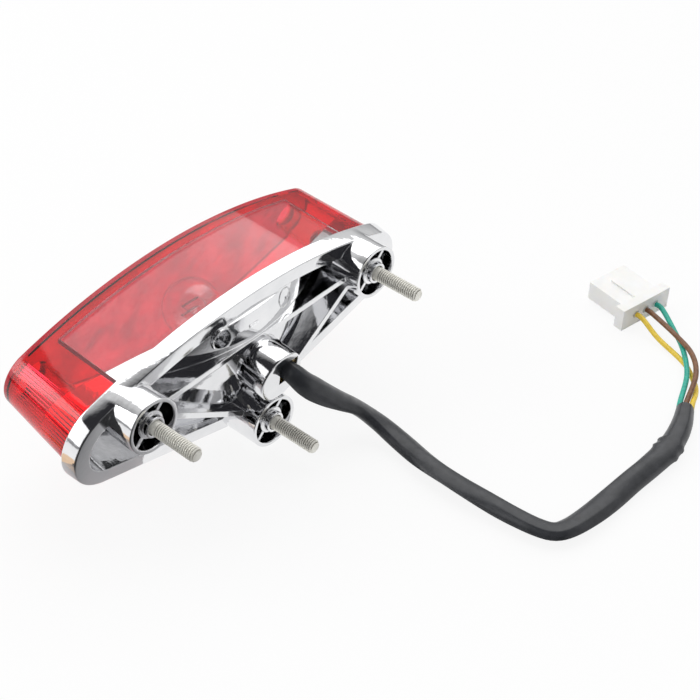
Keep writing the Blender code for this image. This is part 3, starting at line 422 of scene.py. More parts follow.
# the shell: rim, groove and towers in one loft, then the pocket from behind
RIM_EDGE, LIP_EDGE, SHELL_ROUND, OVERREACH = 0.00075, 0.0004, 0.0006, 0.020
PLUG_STEP, PLUG_DEPTH = 0.0010, 0.005
groove_end = GROOVE_INSET + LENS_WALL + 2 * GAP
plug_inset = FLANGE_INSET + PLUG_STEP
section = [(plug_inset, DOME_Y - PLUG_DEPTH), (plug_inset, FLANGE_Y)]
section += [(RIM_EDGE, FLANGE_Y + 0.0003), (0, SEAM_Y)]
section += [(GROOVE_INSET, SEAM_Y), (GROOVE_INSET, GROOVE_BOTTOM), (groove_end, GROOVE_BOTTOM)]
section += [(groove_end, SEAM_Y - 0.0006), (groove_end + LIP_EDGE, SEAM_Y), (TOWER_INSET, TOWER_TOP)]
housing = pitched(skinned("housing_moulding", rim_rings(rounded(section, SHELL_ROUND))))
far_back, far_front = DOME_Y - OVERREACH, TOWER_TOP + OVERREACH
pocket_line = [(0, far_back), (WING_REACH, far_back)] + reflector_line(0)[::-1]
pocket_walls = [(FLANGE_INSET, far_back - OVERREACH / 2), (FLANGE_INSET, FLANGE_Y - 0.002)]
pocket_walls += [(POCKET_INSET, far_front)]
shaped(housing, "DIFFERENCE", hollow("pocket", pocket_line, pocket_walls))

# the cable boss, and the web and ribs that tie the bosses
CABLE_BOSS_RADIUS, CABLE_BOSS_ROUND, WELD = 0.0110, 0.0009, 0.00085
WEB_HALF, WEB_BACK, WEB_FRONT = 0.0011, 0.0063, 0.0240
RIB_HALF, RIB_BACK, RIB_FRONT = 0.0012, 0.0073, 0.0260
cable_boss_line = rounded(rod(CABLE_BOSS_RADIUS, SOCKET_BOSS_END, ROOT_Y), CABLE_BOSS_ROUND)
shaped(housing, "UNION", pitched(turned("cable_boss", cable_boss_line, 0, BULB_Z)))
rib_start = BOSS_RADIUS - WELD
web_end = STUD_X - rib_start
shaped(housing, "UNION", block("web", (-web_end, WEB_BACK, -WEB_HALF), (web_end, WEB_FRONT, WEB_HALF)))
rib_end = math.hypot(STUD_X, STUD_DROP) - rib_start
rib_lean = math.atan2(STUD_DROP, STUD_X)
for side, lean in ((-1, rib_lean), (1, math.pi - rib_lean)):
    rib_low, rib_high = (rib_start, RIB_BACK, -RIB_HALF), (rib_end, RIB_FRONT, RIB_HALF)
    shaped(housing, "UNION", block("rib", rib_low, rib_high, spun(side * STUD_X, 0, lean)))

# the three stud bosses: a root in the shell, a hollow ring, and a hub held by four webs
STUD_RADIUS, HUB_RADIUS, COLLAR_RADIUS, HEAD_ROOM = 0.00295, 0.0058, 0.0044, 0.0045
RING_WALL, RING_DRAFT, RING_FLOOR, BOSS_ROUND = 0.0017, 0.0003, 0.0104, 0.0004
HUB_FACE, COLLAR_FACE, HEAD_SEAT, HEAD_END = 0.0015, -0.0008, 0.0065, 0.0107
ROOT_STEP, CORE_STEP, CORE_WALL, CORE_DROP = 0.0004, 0.0003, 0.0014, 0.001
BOSS_WEB_LOW, BOSS_WEB_HIGH = (0.0051, 0.0023, -0.0008), (0.01065, 0.0109, 0.0008)
studs = {"left": (-STUD_X, 0.0, 0.0145), "right": (STUD_X, 0.0, 0.0145), "lower": (0.0, -STUD_DROP, 0.0197)}
for side, (x, z, depth) in studs.items():
    foot = PITCH.inverted() @ Vector((x, depth, z))
    root_radius = BOSS_RADIUS - ROOT_STEP
    root = rod(root_radius, FLANGE_Y + ROOT_STEP, ROOT_Y)
    shaped(housing, "UNION", pitched(turned("boss_root", root, x, foot.z)))
    if side != "lower":
        core_line = rod(root_radius - CORE_STEP, FLANGE_Y + CORE_WALL, TOWER_TOP - CORE_DROP)
        core = turned("core", core_line, x, foot.z)
        lean = (TOWER_INSET - groove_end - LIP_EDGE) / (TOWER_TOP - SEAM_Y)
        walls = [(groove_end + CORE_WALL + lean * (y - SEAM_Y), y) for y in (FLANGE_Y, far_front)]
        limit = skinned("core_limit", rim_rings(walls, CUTTER_END_STEPS))
        shaped(housing, "UNION", pitched(shaped(core, "INTERSECT", limit)))
    pocket, bore = BOSS_RADIUS - RING_WALL, STUD_RADIUS + GAP
    line = [(0, depth), (BOSS_RADIUS, depth), (BOSS_RADIUS, 0), (pocket, 0)]
    line += [(pocket - RING_DRAFT, RING_FLOOR), (HUB_RADIUS + RING_DRAFT, RING_FLOOR)]
    line += [(HUB_RADIUS, HUB_FACE), (COLLAR_RADIUS, HUB_FACE)]
    line += [(COLLAR_RADIUS, COLLAR_FACE), (bore, COLLAR_FACE), (bore, HEAD_SEAT), (HEAD_ROOM, HEAD_SEAT)]
    line += [(HEAD_ROOM, HEAD_END), (0, HEAD_END)]
    shaped(housing, "UNION", turned("boss", rounded(line, BOSS_ROUND), x, z))
    for quarter in range(4):
        place = spun(x, z, math.radians(45 + 90 * quarter))
        shaped(housing, "UNION", block("boss_web", BOSS_WEB_LOW, BOSS_WEB_HIGH, place))

# the reflector's bowl from the front, the bore for the socket, the cable slot and the blind vent
SOCKET_BORE, BORE_START, BORE_END = 0.0089, -0.0019, 0.0314
SLOT_HALF_X, SLOT_HALF_Z, SLOT_END, LIP_STEP = 0.0046, 0.0049, 0.0009, 0.0003
VENT_X, VENT_Z, VENT_RADIUS, VENT_START, VENT_FLOOR, VENT_STEPS = -0.0165, 0.0088, 0.0039, 0.004, 0.0185, 48
VENT_COLLAR_RADIUS, VENT_COLLAR_START, VENT_COLLAR_END = 0.0048, 0.0133, 0.0200
bowl_line = reflector_line(WALL) + [(WING_REACH, far_front), (0, far_front)]
inner_wall, lip_inset = FLANGE_INSET + WALL, groove_end - LIP_STEP
bowl_walls = [(inner_wall, far_back), (inner_wall, SEAM_Y - 0.0005)]
bowl_walls += [(lip_inset, SEAM_Y - 0.0004), (lip_inset, far_front + OVERREACH / 2)]
shaped(housing, "DIFFERENCE", hollow("bowl", bowl_line, bowl_walls))
bore_line = rod(SOCKET_BORE, BORE_START, BORE_END)
shaped(housing, "DIFFERENCE", pitched(turned("socket_bore", bore_line, 0, BULB_Z)))
hole_low = CABLE_HOLE + Vector((-SLOT_HALF_X, -OVERREACH / 2, -SLOT_HALF_Z))
hole_high = CABLE_HOLE + Vector((SLOT_HALF_X, -SLOT_END, SLOT_HALF_Z))
shaped(housing, "DIFFERENCE", pitched(block("cable_hole", hole_low, hole_high)))
collar_line = rounded(rod(VENT_COLLAR_RADIUS, VENT_COLLAR_START, VENT_COLLAR_END), BOSS_ROUND)
vent_line = rod(VENT_RADIUS, VENT_START, VENT_FLOOR)
shaped(housing, "UNION", pitched(turned("vent_collar", collar_line, VENT_X, VENT_Z, VENT_STEPS)))
shaped(housing, "DIFFERENCE", pitched(turned("vent", vent_line, VENT_X, VENT_Z, VENT_STEPS)))


def on_dome(x, z):
    """A place on the back of the dome, with Y pointing into it."""
    run = Vector((x, 0, z - BULB_Z))
    inward = (Vector((0, 1, 0)) - run / (2 * DOME_FOCUS)).normalized()
    across = (Vector((1, 0, 0)) - inward * inward.x).normalized()
    place = Matrix((across, inward, across.cross(inward))).transposed().to_4x4()
    place.translation = (x, DOME_Y + run.length_squared / (4 * DOME_FOCUS), z)
    return place


# the raised ring, pip and bar on the dome, the screw posts on the wings, and the groove for the lens
MARK_RADIUS, MARK_INSIDE, MARK_HEIGHT, MARK_SINK = 0.0040, 0.0037, 0.00014, 0.0006
MARK_PLACE, PIP_PLACE, BAR_PLACE = (0.0175, 0.0088), (0.0186, 0.0078), (-0.0015, 0.0084)
POST_RADIUS, POST_START, POST_END = 0.0045, 0.0322, 0.0359
PILOT_RADIUS, PILOT_START, PILOT_END = 0.0023, 0.0336, 0.0462
mark = turned("mark", rod(MARK_RADIUS, -MARK_HEIGHT, MARK_SINK), 0, 0, 48)
shaped(mark, "DIFFERENCE", turned("inside", rod(MARK_INSIDE, -0.001, 0.001), 0, 0, 48))
mark.data.transform(on_dome(*MARK_PLACE))
pip = turned("pip", [(0, -0.0004), (0.0006, -0.0004), (0.0007, MARK_SINK), (0, MARK_SINK)], 0, 0, 24)
pip.data.transform(on_dome(*PIP_PLACE))
bar = block("bar", (-0.0022, -0.0003, -0.0005), (0.0022, MARK_SINK, 0.0005), on_dome(*BAR_PLACE))
for raised in (mark, pip, bar):
    shaped(housing, "UNION", pitched(raised))
post_line = rounded(rod(POST_RADIUS, POST_START, POST_END), BOSS_ROUND)
pilot_line = rod(PILOT_RADIUS, PILOT_START, PILOT_END)
for x in (-END_X, END_X):
    shaped(housing, "UNION", pitched(turned("post", post_line, x, END_Z)))
    shaped(housing, "DIFFERENCE", pitched(turned("pilot", pilot_line, x, END_Z, 32)))
groove = [(GROOVE_INSET, GROOVE_BOTTOM), (groove_end, GROOVE_BOTTOM)]
groove += [(groove_end, BORE_END), (GROOVE_INSET, BORE_END)]
shaped(housing, "DIFFERENCE", pitched(skinned("groove", rim_rings(groove), closed=True)))


def relief(tree, shader, *layers, under=None):
    """Bump from layers of (height, distance in metres, strength), one over the other."""
    last = under
    for height, distance, strength in layers:
        node = tree.nodes.new("ShaderNodeBump")
        node.inputs["Distance"].default_value = distance
        node.inputs["Strength"].default_value = strength
        tree.links.new(height, node.inputs["Height"])
        if last:
            tree.links.new(last, node.inputs["Normal"])
        last = node.outputs["Normal"]
    tree.links.new(last, shader.inputs["Normal"])


chrome, tree, shader = finish("chrome_plate", Metallic=1.0, Roughness=0.05)
coloured(tree, shader, grain(tree, 90, 4), (0.3, 0.78, 0.785, 0.80), (0.7, 0.86, 0.86, 0.87))
worn(tree, shader, grain(tree, 260, 5), 0.025, 0.10)
edge = tree.nodes.new("ShaderNodeBevel")
edge.samples = 4
edge.inputs["Radius"].default_value = 0.0005
sink = (grain(tree, 75, 2), 0.0012, 0.10)
flow = (grain(tree, 380, 3), 0.0002, 0.22)
orange_peel = (grain(tree, 900, 2), 0.00004, 0.20)
relief(tree, shader, sink, flow, orange_peel, under=edge.outputs["Normal"])
dressed(housing, chrome, "chromed_plastic", "housing")

# Studs: three M6 steel studs, zinc plated, with rolled threads, moulded into the hubs of the bosses.
# Each has a head that the plastic grips, and its thread ends in a short chamfer.
STUD_HEAD_RADIUS, STUD_HEAD_END, STUD_HEAD_SEAT = 0.0042, 0.0104, 0.0068
STUD_TIP, STUD_TIP_RADIUS, STUD_CHAMFER = -0.0221, 0.0022, 0.0008
STUD_PITCH, STUD_THREAD_DEPTH, STUD_THREAD_START = 0.0010, 0.00055, -0.0020
ROWS_PER_PITCH, THREAD_STEEPNESS = 8, 2.3
zinc, tree, shader = finish("zinc_plate", Metallic=0.5, Roughness=0.5)
plating = shades(tree, grain(tree, 300, 3), (0.3, 0.92, 0.90, 0.83), (0.7, 0.96, 0.95, 0.89))
# painted shade: where the thread_root attribute is high, the zinc colour is mixed towards dark brown,
# standing in for shade in the thread grooves
root = tree.nodes.new("ShaderNodeAttribute")
root.attribute_name = "thread_root"
thread_root_shade = tree.nodes.new("ShaderNodeMix")
thread_root_shade.data_type = "RGBA"
thread_root_shade.inputs[COLOUR_B].default_value = (0.20, 0.19, 0.16, 1)
tree.links.new(spread(tree, root.outputs["Fac"], 0, 0.90, 0.40, 0.90), thread_root_shade.inputs["Factor"])
tree.links.new(plating, thread_root_shade.inputs[COLOUR_A])
tree.links.new(thread_root_shade.outputs[COLOUR_MIXED], shader.inputs["Base Color"])
worn(tree, shader, grain(tree, 500, 3), 0.44, 0.56)
relief(tree, shader, (grain(tree, 900, 2), 0.00001, 0.2))


def threaded(name, profile, pitch, depth, x, z, thread_from, thread_to, steps=48):
    """A turned rod whose radius dips along a helix between two depths."""
    rows, roots = [], []
    y, end = profile[0][1], profile[-1][1]
    count = int(abs(end - y) / (pitch / ROWS_PER_PITCH))
    for row in range(count + 1):
        here = y + (end - y) * row / count
        inside = min(thread_from, thread_to) < here < max(thread_from, thread_to)
        radius = profile[-1][0]
        for (r_one, y_one), (r_two, y_two) in zip(profile, profile[1:]):
            if min(y_one, y_two) <= here <= max(y_one, y_two) and y_one != y_two:
                radius = r_one + (r_two - r_one) * (here - y_one) / (y_two - y_one)
                break
        ring = []
        for step in range(steps):
            angle = 2 * math.pi * step / steps
            phase = (here / pitch + step / steps) % 1.0
            dip = 1 - min(1.0, abs(phase - 0.5) * THREAD_STEEPNESS) if inside else 0.0
            r = radius - depth * dip
            roots.append(dip)
            ring.append((x + r * math.cos(angle), here, z + r * math.sin(angle)))
        rows.append(ring)
    made = skinned(name, rows)
    # each point's dip into the thread groove, which the zinc finish reads for its painted shade
    made.data.attributes.new("thread_root", "FLOAT", "POINT").data.foreach_set("value", roots)
    return made


shank = [(STUD_HEAD_RADIUS, STUD_HEAD_END), (STUD_HEAD_RADIUS, STUD_HEAD_SEAT)]
shank += [(STUD_RADIUS, STUD_HEAD_SEAT - 0.00001), (STUD_RADIUS, STUD_TIP + STUD_CHAMFER)]
shank += [(STUD_TIP_RADIUS, STUD_TIP)]
for side, (x, z, _) in studs.items():
    thread = (STUD_PITCH, STUD_THREAD_DEPTH, x, z, STUD_THREAD_START, STUD_TIP)
    stud = threaded(f"stud_{side}_threaded", shank, *thread)
    dressed(stud, zinc, "zinc_steel", f"stud_{side}", sharp=60)

# Gasket: a strip of black closed-cell foam laid in the groove, under the foot of the lens.
# It keeps its plain solid, which no view shows, and takes a pored foam finish.
foam, tree, shader = finish("gasket_foam", Roughness=0.9)
coloured(tree, shader, grain(tree, 1800, 4), (0.3, 0.010, 0.010, 0.011), (0.7, 0.035, 0.035, 0.037))
relief(tree, shader, (grain(tree, 2500, 4), 0.0002, 0.6))


def refinished(look, *names):
    """Gives parts that keep their own solid a finish."""
    for name in names:
        made = nodes[name]
        made.data.materials.clear()
        made.data.materials.append(look)


refinished(foam, "lens_gasket")

# Lens: a deep red acrylic shell, injection moulded, with fine flutes inside its rounded ends and an
# uneven inside to its front wall. Its walls draw in towards the front, and two screw wells run
# through it from the front.
LENS_FRONT, LENS_FRONT_INSET, LENS_EDGE, EDGE_STEPS = 0.0608, 0.0060, 0.0010, 6
LENS_END_STEPS, FLUTE_DEPTH, FLUTE_START, FRONT_RING = 168, 0.0006, 0.0012, 0.0060
WINDOW_HALF, WINDOW_NEAR, WINDOW_FAR = 0.0605, SEAM_Y + 0.0004, 0.0542
WELL_OUTSIDE, WELL_INSIDE, WELL_FOOT, WELL_FLOOR, SCREW_HOLE = 0.0060, 0.0046, 0.0362, 0.0392, 0.0023
lens_inset = GROOVE_INSET + GAP
lens_foot = GROOVE_BOTTOM + 0.0010 + 2 * GAP
lens_inside = lens_inset + LENS_WALL
inner_front = LENS_FRONT - LENS_WALL


def lens_face(y):
    """Inset of the lens's outer wall at a depth."""
    return lens_inset + max(0.0, (y - SEAM_Y) / (LENS_FRONT - SEAM_Y)) * (LENS_FRONT_INSET - lens_inset)


stations = [(lens_face(LENS_FRONT) + inset, LENS_FRONT) for inset in (FRONT_RING, LENS_EDGE)]
for step in range(1, EDGE_STEPS + 1):
    turn = math.pi / 2 * step / EDGE_STEPS
    y = LENS_FRONT - LENS_EDGE * (1 - math.cos(turn))
    stations.append((lens_face(y) + LENS_EDGE * (1 - math.sin(turn)), y))
stations += [(lens_face(inner_front), inner_front), (lens_face(SEAM_Y), SEAM_Y)]
stations += [(lens_inset, lens_foot), (lens_inside, lens_foot), (lens_inside, SEAM_Y)]
stations += [(lens_inside, SEAM_Y + FLUTE_START, FLUTE_DEPTH)]
stations += [(lens_face(inner_front) + LENS_WALL, inner_front, FLUTE_DEPTH)]
lens = skinned("lens_shell", rim_rings(stations, LENS_END_STEPS))
for x in (-END_X, END_X):
    for operation, radius, start, end in (
        ("UNION", WELL_OUTSIDE, WELL_FOOT, inner_front + 0.001),
        ("DIFFERENCE", WELL_INSIDE, WELL_FLOOR, LENS_FRONT + OVERREACH / 2),
        ("DIFFERENCE", SCREW_HOLE, WELL_FOOT - OVERREACH / 2, WELL_FLOOR + 0.001),
    ):
        shaped(lens, operation, turned("well", rod(radius, start, end), x, END_Z, 48))


def window_panel(name, half, near, far, outer, inner, steps=48):
    """A curved panel in the lens's top wall, between two faces set in from the wall's outside."""
    rings = []
    for step in range(steps + 1):
        ring = []
        for y, offset in ((near, outer), (far, outer), (far, inner), (near, inner)):
            radius = TOP_RADIUS - lens_face(y) - offset
            angle = math.asin(half / radius) * (2 * step / steps - 1)
            ring.append((radius * math.sin(angle), y, TOP_CENTRE + radius * math.cos(angle)))
        rings.append(ring)
    return skinned(name, rings)


opening = window_panel("opening", WINDOW_HALF, WINDOW_NEAR, WINDOW_FAR, -LENS_WALL, 2 * LENS_WALL)
shaped(lens, "DIFFERENCE", opening)
red, tree, shader = finish("red_acrylic", Roughness=0.03, IOR=1.49, Transmission_Weight=1.0)
coloured(tree, shader, grain(tree, 55, 3), (0.3, 0.84, 0.014, 0.034), (0.65, 0.97, 0.028, 0.058))
worn(tree, shader, grain(tree, 500, 4), 0.015, 0.05)
relief(tree, shader, (grain(tree, 60, 2), 0.0006, 0.12), (grain(tree, 1400, 3), 0.00002, 0.2))
# painted shade: a darker, duller copy of the red acrylic for the outer faces round the lens's front edge
red_edge_painted_shade, tree, shader = finish("red_acrylic_edge_painted_shade", Roughness=0.15, IOR=1.49, Transmission_Weight=0.25)
coloured(tree, shader, grain(tree, 120, 3), (0.3, 0.52, 0.008, 0.022), (0.7, 0.64, 0.014, 0.034))
relief(tree, shader, (grain(tree, 900, 3), 0.00003, 0.3))
# the inside face of the front wall: its bumps are the real unevenness, and its much darker, mottled red is
# painted shade
red_optics_painted_shade, tree, shader = finish("red_acrylic_optics_painted_shade", Roughness=0.12, IOR=1.49, Transmission_Weight=1.0)
coloured(tree, shader, grain(tree, 70, 4), (0.3, 0.16, 0.005, 0.012), (0.7, 0.60, 0.016, 0.034))
relief(tree, shader, (grain(tree, 90, 3), 0.003, 0.5))
SQUARE_ON, FLAT_ON, BESIDE, TOUCHING, LEVEL, TOP_FROM = 0.9, 0.97, 0.001, 0.0003, 0.0001, -0.006


def edge_faces(made, low, high, sides):
    """Numbers of the faces that stand across a panel's edge: at low or high in Y, or at +-sides in X."""
    found = []
    for face in made.data.polygons:
        x, y, z = face.center
        across = abs(face.normal.x) > SQUARE_ON and abs(abs(x) - sides) < BESIDE
        across = across and low - BESIDE < y < high + BESIDE
        along = abs(face.normal.y) > SQUARE_ON and min(abs(y - low), abs(y - high)) < TOUCHING
        along = along and abs(x) < sides + BESIDE
        if z > TOP_FROM and (across or along):
            found.append(face.index)
    return found


def edged(made, faces, look):
    """Gives some faces of a finished piece a finish of their own."""
    made.data.materials.append(look)
    for number in faces:
        made.data.polygons[number].material_index = len(made.data.materials) - 1


reveal_faces = edge_faces(lens, WINDOW_NEAR, WINDOW_FAR, WINDOW_HALF)
rim_faces, optic_faces = [], []
for face in lens.data.polygons:
    if face.normal.y < -FLAT_ON and abs(face.center.y - inner_front) < LEVEL:
        optic_faces.append(face.index)
    if face.center.y > inner_front + LEVEL and face.normal.y < FLAT_ON:
        if math.hypot(abs(face.center.x) - END_X, face.center.z - END_Z) > WELL_OUTSIDE:
            rim_faces.append(face.index)
dressed(pitched(lens), red, "red_lens", "lens", sharp=30)
# the faces round the front edge take the painted shade
edged(lens, rim_faces, red_edge_painted_shade)
# the inside face of the front wall takes the painted shade
edged(lens, optic_faces, red_optics_painted_shade)

# Plate window: a clear acrylic panel bonded into the lens's upper wall, which lights the number plate.
# Its faces follow the lens, and its cut edges, with the lens's reveal round it, carry a pale pink painted
# highlight.
clear, tree, shader = finish("clear_acrylic", Roughness=0.02, IOR=1.49, Transmission_Weight=1.0)
coloured(tree, shader, grain(tree, 30, 2), (0.3, 0.965, 0.965, 0.97), (0.7, 0.985, 0.985, 0.985))
worn(tree, shader, grain(tree, 600, 4), 0.01, 0.04)
relief(tree, shader, (grain(tree, 50, 2), 0.0005, 0.08), (grain(tree, 2200, 2), 0.00002, 0.15))
# painted highlight: a pale pink, half-clear finish for the window's cut edges and the lens's reveal
clear_edge_painted_glint, tree, shader = finish("clear_acrylic_edge_painted_glint", Roughness=0.25, IOR=1.49, Transmission_Weight=0.4)
coloured(tree, shader, grain(tree, 150, 3), (0.3, 0.78, 0.42, 0.45), (0.7, 0.90, 0.66, 0.68))
relief(tree, shader, (grain(tree, 900, 3), 0.00003, 0.3))
panel_half, panel_near, panel_far = WINDOW_HALF - GAP, WINDOW_NEAR + GAP, WINDOW_FAR - GAP
window = window_panel("plate_window_panel", panel_half, panel_near, panel_far, 0, LENS_WALL)
cut_faces = edge_faces(window, panel_near, panel_far, panel_half)
dressed(pitched(window), clear, "clear_window", "plate_window", sharp=30)
# the window's cut edges and the lens's reveal take the painted highlight
edged(window, cut_faces, clear_edge_painted_glint)
edged(lens, reveal_faces, clear_edge_painted_glint)

# Lens screws: two self-tapping pan-head screws, zinc plated, at the bottom of the lens's wells.
# They pull the lens into its groove from posts on the wings of the reflector.
SCREW_SEAT, SCREW_RADIUS, SCREW_TIP_RADIUS = 0.0395, 0.0020, 0.0004
SCREW_REACH, SCREW_POINT, SCREW_PITCH, SCREW_THREAD_DEPTH = 0.0056, 0.0040, 0.0013, 0.0005
HEAD_RADIUS, HEAD_CROWN_RADIUS, HEAD_RIM, HEAD_CROWN, HEAD_ROUND = 0.0038, 0.0024, 0.0011, 0.0024, 0.0007
RECESS_LOW = (-0.0019, SCREW_SEAT + 0.0009, -0.00045)
RECESS_HIGH = (0.0019, SCREW_SEAT + 0.004, 0.00045)
shank = [(SCREW_TIP_RADIUS, SCREW_SEAT - SCREW_REACH), (SCREW_RADIUS, SCREW_SEAT - SCREW_POINT)]
shank += [(SCREW_RADIUS, SCREW_SEAT - 0.0001)]
head_line = [(0, SCREW_SEAT - 0.0003), (HEAD_RADIUS, SCREW_SEAT - 0.0002)]
head_line += [(HEAD_RADIUS, SCREW_SEAT + HEAD_RIM), (HEAD_CROWN_RADIUS, SCREW_SEAT + HEAD_CROWN)]
head_line += [(0, SCREW_SEAT + HEAD_CROWN)]
for side, x in (("left", -END_X), ("right", END_X)):
    thread = (SCREW_PITCH, SCREW_THREAD_DEPTH, x, END_Z, SCREW_SEAT - 0.0055, SCREW_SEAT - 0.0005)
    screw = threaded(f"lens_screw_{side}_thread", shank, *thread)
    head = turned("head", rounded(head_line, HEAD_ROUND), x, END_Z, 48)
    for angle in (35, 125):
        place = spun(x, END_Z, math.radians(angle))
        shaped(head, "DIFFERENCE", block("recess", RECESS_LOW, RECESS_HIGH, place))
    shaped(screw, "UNION", head)
    dressed(pitched(screw), zinc, "zinc_steel", f"lens_screw_{side}")

# Bulb socket: a drawn brass bayonet shell set in the cable boss, with a phenolic plate behind the bulb.
# A coil spring pushes the plate and its two contact buttons against the bulb.
brass, tree, shader = finish("stamped_brass", Metallic=1.0, Roughness=0.3)
tarnish, clean, bright = (0.25, 0.52, 0.37, 0.16), (0.6, 0.74, 0.57, 0.29), (0.85, 0.80, 0.64, 0.38)
coloured(tree, shader, grain(tree, 300, 4), tarnish, clean, bright)
worn(tree, shader, grain(tree, 800, 4), 0.18, 0.42)
relief(tree, shader, (grain(tree, 1200, 3, (1, 0.1, 1)), 0.00003, 0.4))
phenolic, tree, shader = finish("phenolic_board", Roughness=0.5)
coloured(tree, shader, grain(tree, 900, 4, (1, 6, 1)), (0.3, 0.14, 0.065, 0.03), (0.7, 0.26, 0.13, 0.065))
relief(tree, shader, (grain(tree, 1600, 3), 0.00004, 0.5))
spring_wire, tree, shader = finish("spring_wire", Metallic=1.0, Roughness=0.25)
coloured(tree, shader, grain(tree, 900, 3), (0.3, 0.46, 0.46, 0.48), (0.7, 0.64, 0.64, 0.66))
relief(tree, shader, (grain(tree, 3000, 2), 0.00002, 0.4))
refinished(brass, "bulb_socket", "contact_tail", "contact_brake")
refinished(phenolic, "contact_plate")
refinished(spring_wire, "contact_spring")

# Bulb: a two-filament bayonet bulb: brass base with two pins, a blown clear globe and a glass stem.
# Two solder contacts under the base meet the buttons; a push and a short turn lock it in.
GLOBE_RADIUS, GLOBE_Y, NECK_RADIUS, GLASS_WALL, GLASS_START = 0.0122, 0.0452, 0.0064, 0.0007, 0.0210
STEM_TIP, STEM_ROUND = 0.0350, 0.0012
FILAMENT_HALF, FILAMENT_Y, FILAMENT_OFFSET, FILAMENT_RADIUS = 0.0042, 0.0465, 0.0025, 0.00014
LEG_Y, LEG_ROOT_X, LEG_ROOT_Y, LEG_ROOT_OFFSET = 0.0425, 0.0010, 0.0356, 0.00088
COIL_RADIUS, COIL_TURNS, COIL_STEPS = 0.0004, 12, 97
solder, tree, shader = finish("solder_blob", Metallic=1.0, Roughness=0.35)
coloured(tree, shader, grain(tree, 1300, 3), (0.3, 0.42, 0.42, 0.43), (0.7, 0.66, 0.66, 0.68))
relief(tree, shader, (grain(tree, 1500, 3), 0.00008, 0.5))
refinished(solder, "bulb_contact_tail", "bulb_contact_brake")
refinished(brass, "bulb_base")
glass, tree, shader = finish("blown_glass", Roughness=0.0, IOR=1.5, Transmission_Weight=1.0)
coloured(tree, shader, grain(tree, 80, 2), (0.3, 0.96, 0.97, 0.97), (0.7, 0.985, 0.99, 0.99))
relief(tree, shader, (grain(tree, 90, 2), 0.0004, 0.15))


def globe_line(radius, neck, steps=28):
    """Half section of the globe from its tip to its neck."""
    last = math.pi - math.asin(neck / radius)
    angles = [last * step / steps for step in range(steps + 1)]
    return [(radius * math.sin(a), GLOBE_Y + radius * math.cos(a)) for a in angles]


inner_neck = NECK_RADIUS - GLASS_WALL
outside = globe_line(GLOBE_RADIUS, NECK_RADIUS) + [(NECK_RADIUS, GLASS_START)]
inside = [(inner_neck, GLASS_START)] + globe_line(GLOBE_RADIUS - GLASS_WALL, inner_neck)[::-1]
globe = turned("bulb_globe", outside + inside, 0, BULB_Z, 64)
dressed(pitched(globe), glass, "bulb_glass", "bulb_glass", body="bulb", sharp=50)
stem_line = [(0, STEM_TIP), (0.0018, STEM_TIP), (0.0022, 0.0290), (0.0040, 0.0230)]
stem_line += [(0.0054, GLASS_START), (0, GLASS_START)]
stem = turned("bulb_stem_glass", rounded(stem_line, STEM_ROUND), 0, BULB_Z, 40)
dressed(pitched(stem), glass, "bulb_glass", "bulb_stem", body="bulb", sharp=50)


def tube(name, points, radius, sides=4):
    """A round wire along points, as a curve with a bevel."""
    curve = bpy.data.curves.new(name, "CURVE")
    curve.dimensions = "3D"
    curve.bevel_depth = radius
    curve.bevel_resolution = sides
    curve.use_fill_caps = True
    spline = curve.splines.new("POLY")
    spline.points.add(len(points) - 1)
    for place, point in zip(spline.points, points):
        place.co = (*point, 1)
    made = bpy.data.objects.new(name, curve)
    bpy.context.scene.collection.objects.link(made)
    return made


tungsten, tree, shader = finish("tungsten_wire", Metallic=1.0, Roughness=0.4)
coloured(tree, shader, grain(tree, 2500, 3), (0.3, 0.20, 0.20, 0.20), (0.7, 0.40, 0.40, 0.41))
relief(tree, shader, (grain(tree, 4000, 2), 0.00001, 0.4))
for name, sign in (("tail", -1), ("brake", 1)):
    coil_z, root_z = BULB_Z + sign * FILAMENT_OFFSET, BULB_Z + sign * LEG_ROOT_OFFSET
    leg = [(LEG_ROOT_X, LEG_ROOT_Y, root_z)]
    leg += [(FILAMENT_HALF, LEG_Y, coil_z), (FILAMENT_HALF, FILAMENT_Y, coil_z)]
    line = [(-x, y, z) for x, y, z in leg]
    for step in range(1, COIL_STEPS):
        turn = 2 * math.pi * COIL_TURNS * step / COIL_STEPS
        x = -FILAMENT_HALF + 2 * FILAMENT_HALF * step / COIL_STEPS
        y, z = FILAMENT_Y + COIL_RADIUS * math.sin(turn), coil_z + COIL_RADIUS * (math.cos(turn) - 1)
        line.append((x, y, z))
    line += leg[::-1]
    filament = tube(f"filament_{name}_coil", [PITCH @ Vector(point) for point in line], FILAMENT_RADIUS, 1)
    dressed(filament, tungsten, "tungsten", f"filament_{name}", body="bulb")

# Sleeve: a soft black vinyl tube over the three wires, flattened and a little twisted where it bends, with
# two small bulges near its end. It comes out of the slot in the cable boss, hangs down to the bench and
# lies there in one loose bend.
SLEEVE_RADIUS, SLEEVE_SPACING, SLEEVE_TUCK = 0.0038, 0.0012, 0.0012
FOLDS = ((1.0, 0.1), (0.45, 0.95), (-0.5, 0.9), (-1.0, -0.1), (-0.4, -0.95), (0.52, -0.95))
FOLD_STEPS, FOLD_SWING, FOLD_CROWN = 8, 0.13, 0.09
FLATNESS, FULLNESS, SIDE_KEPT, SIDE_NEW, BENCH_TOUCH = 0.72, 1.26, 0.9, 0.1, 0.0001
SLOT_SHARE, SLOT_SQUEEZE, SLOT_BULGE = 0.06, 3.0, 4.0
END_SHARE, END_SQUEEZE, END_SWELL, END_TAPER = 0.86, 0.20, 0.10, 0.36
BULGES = ((0.900, 0.006, 0.20), (0.878, 0.005, 0.14))


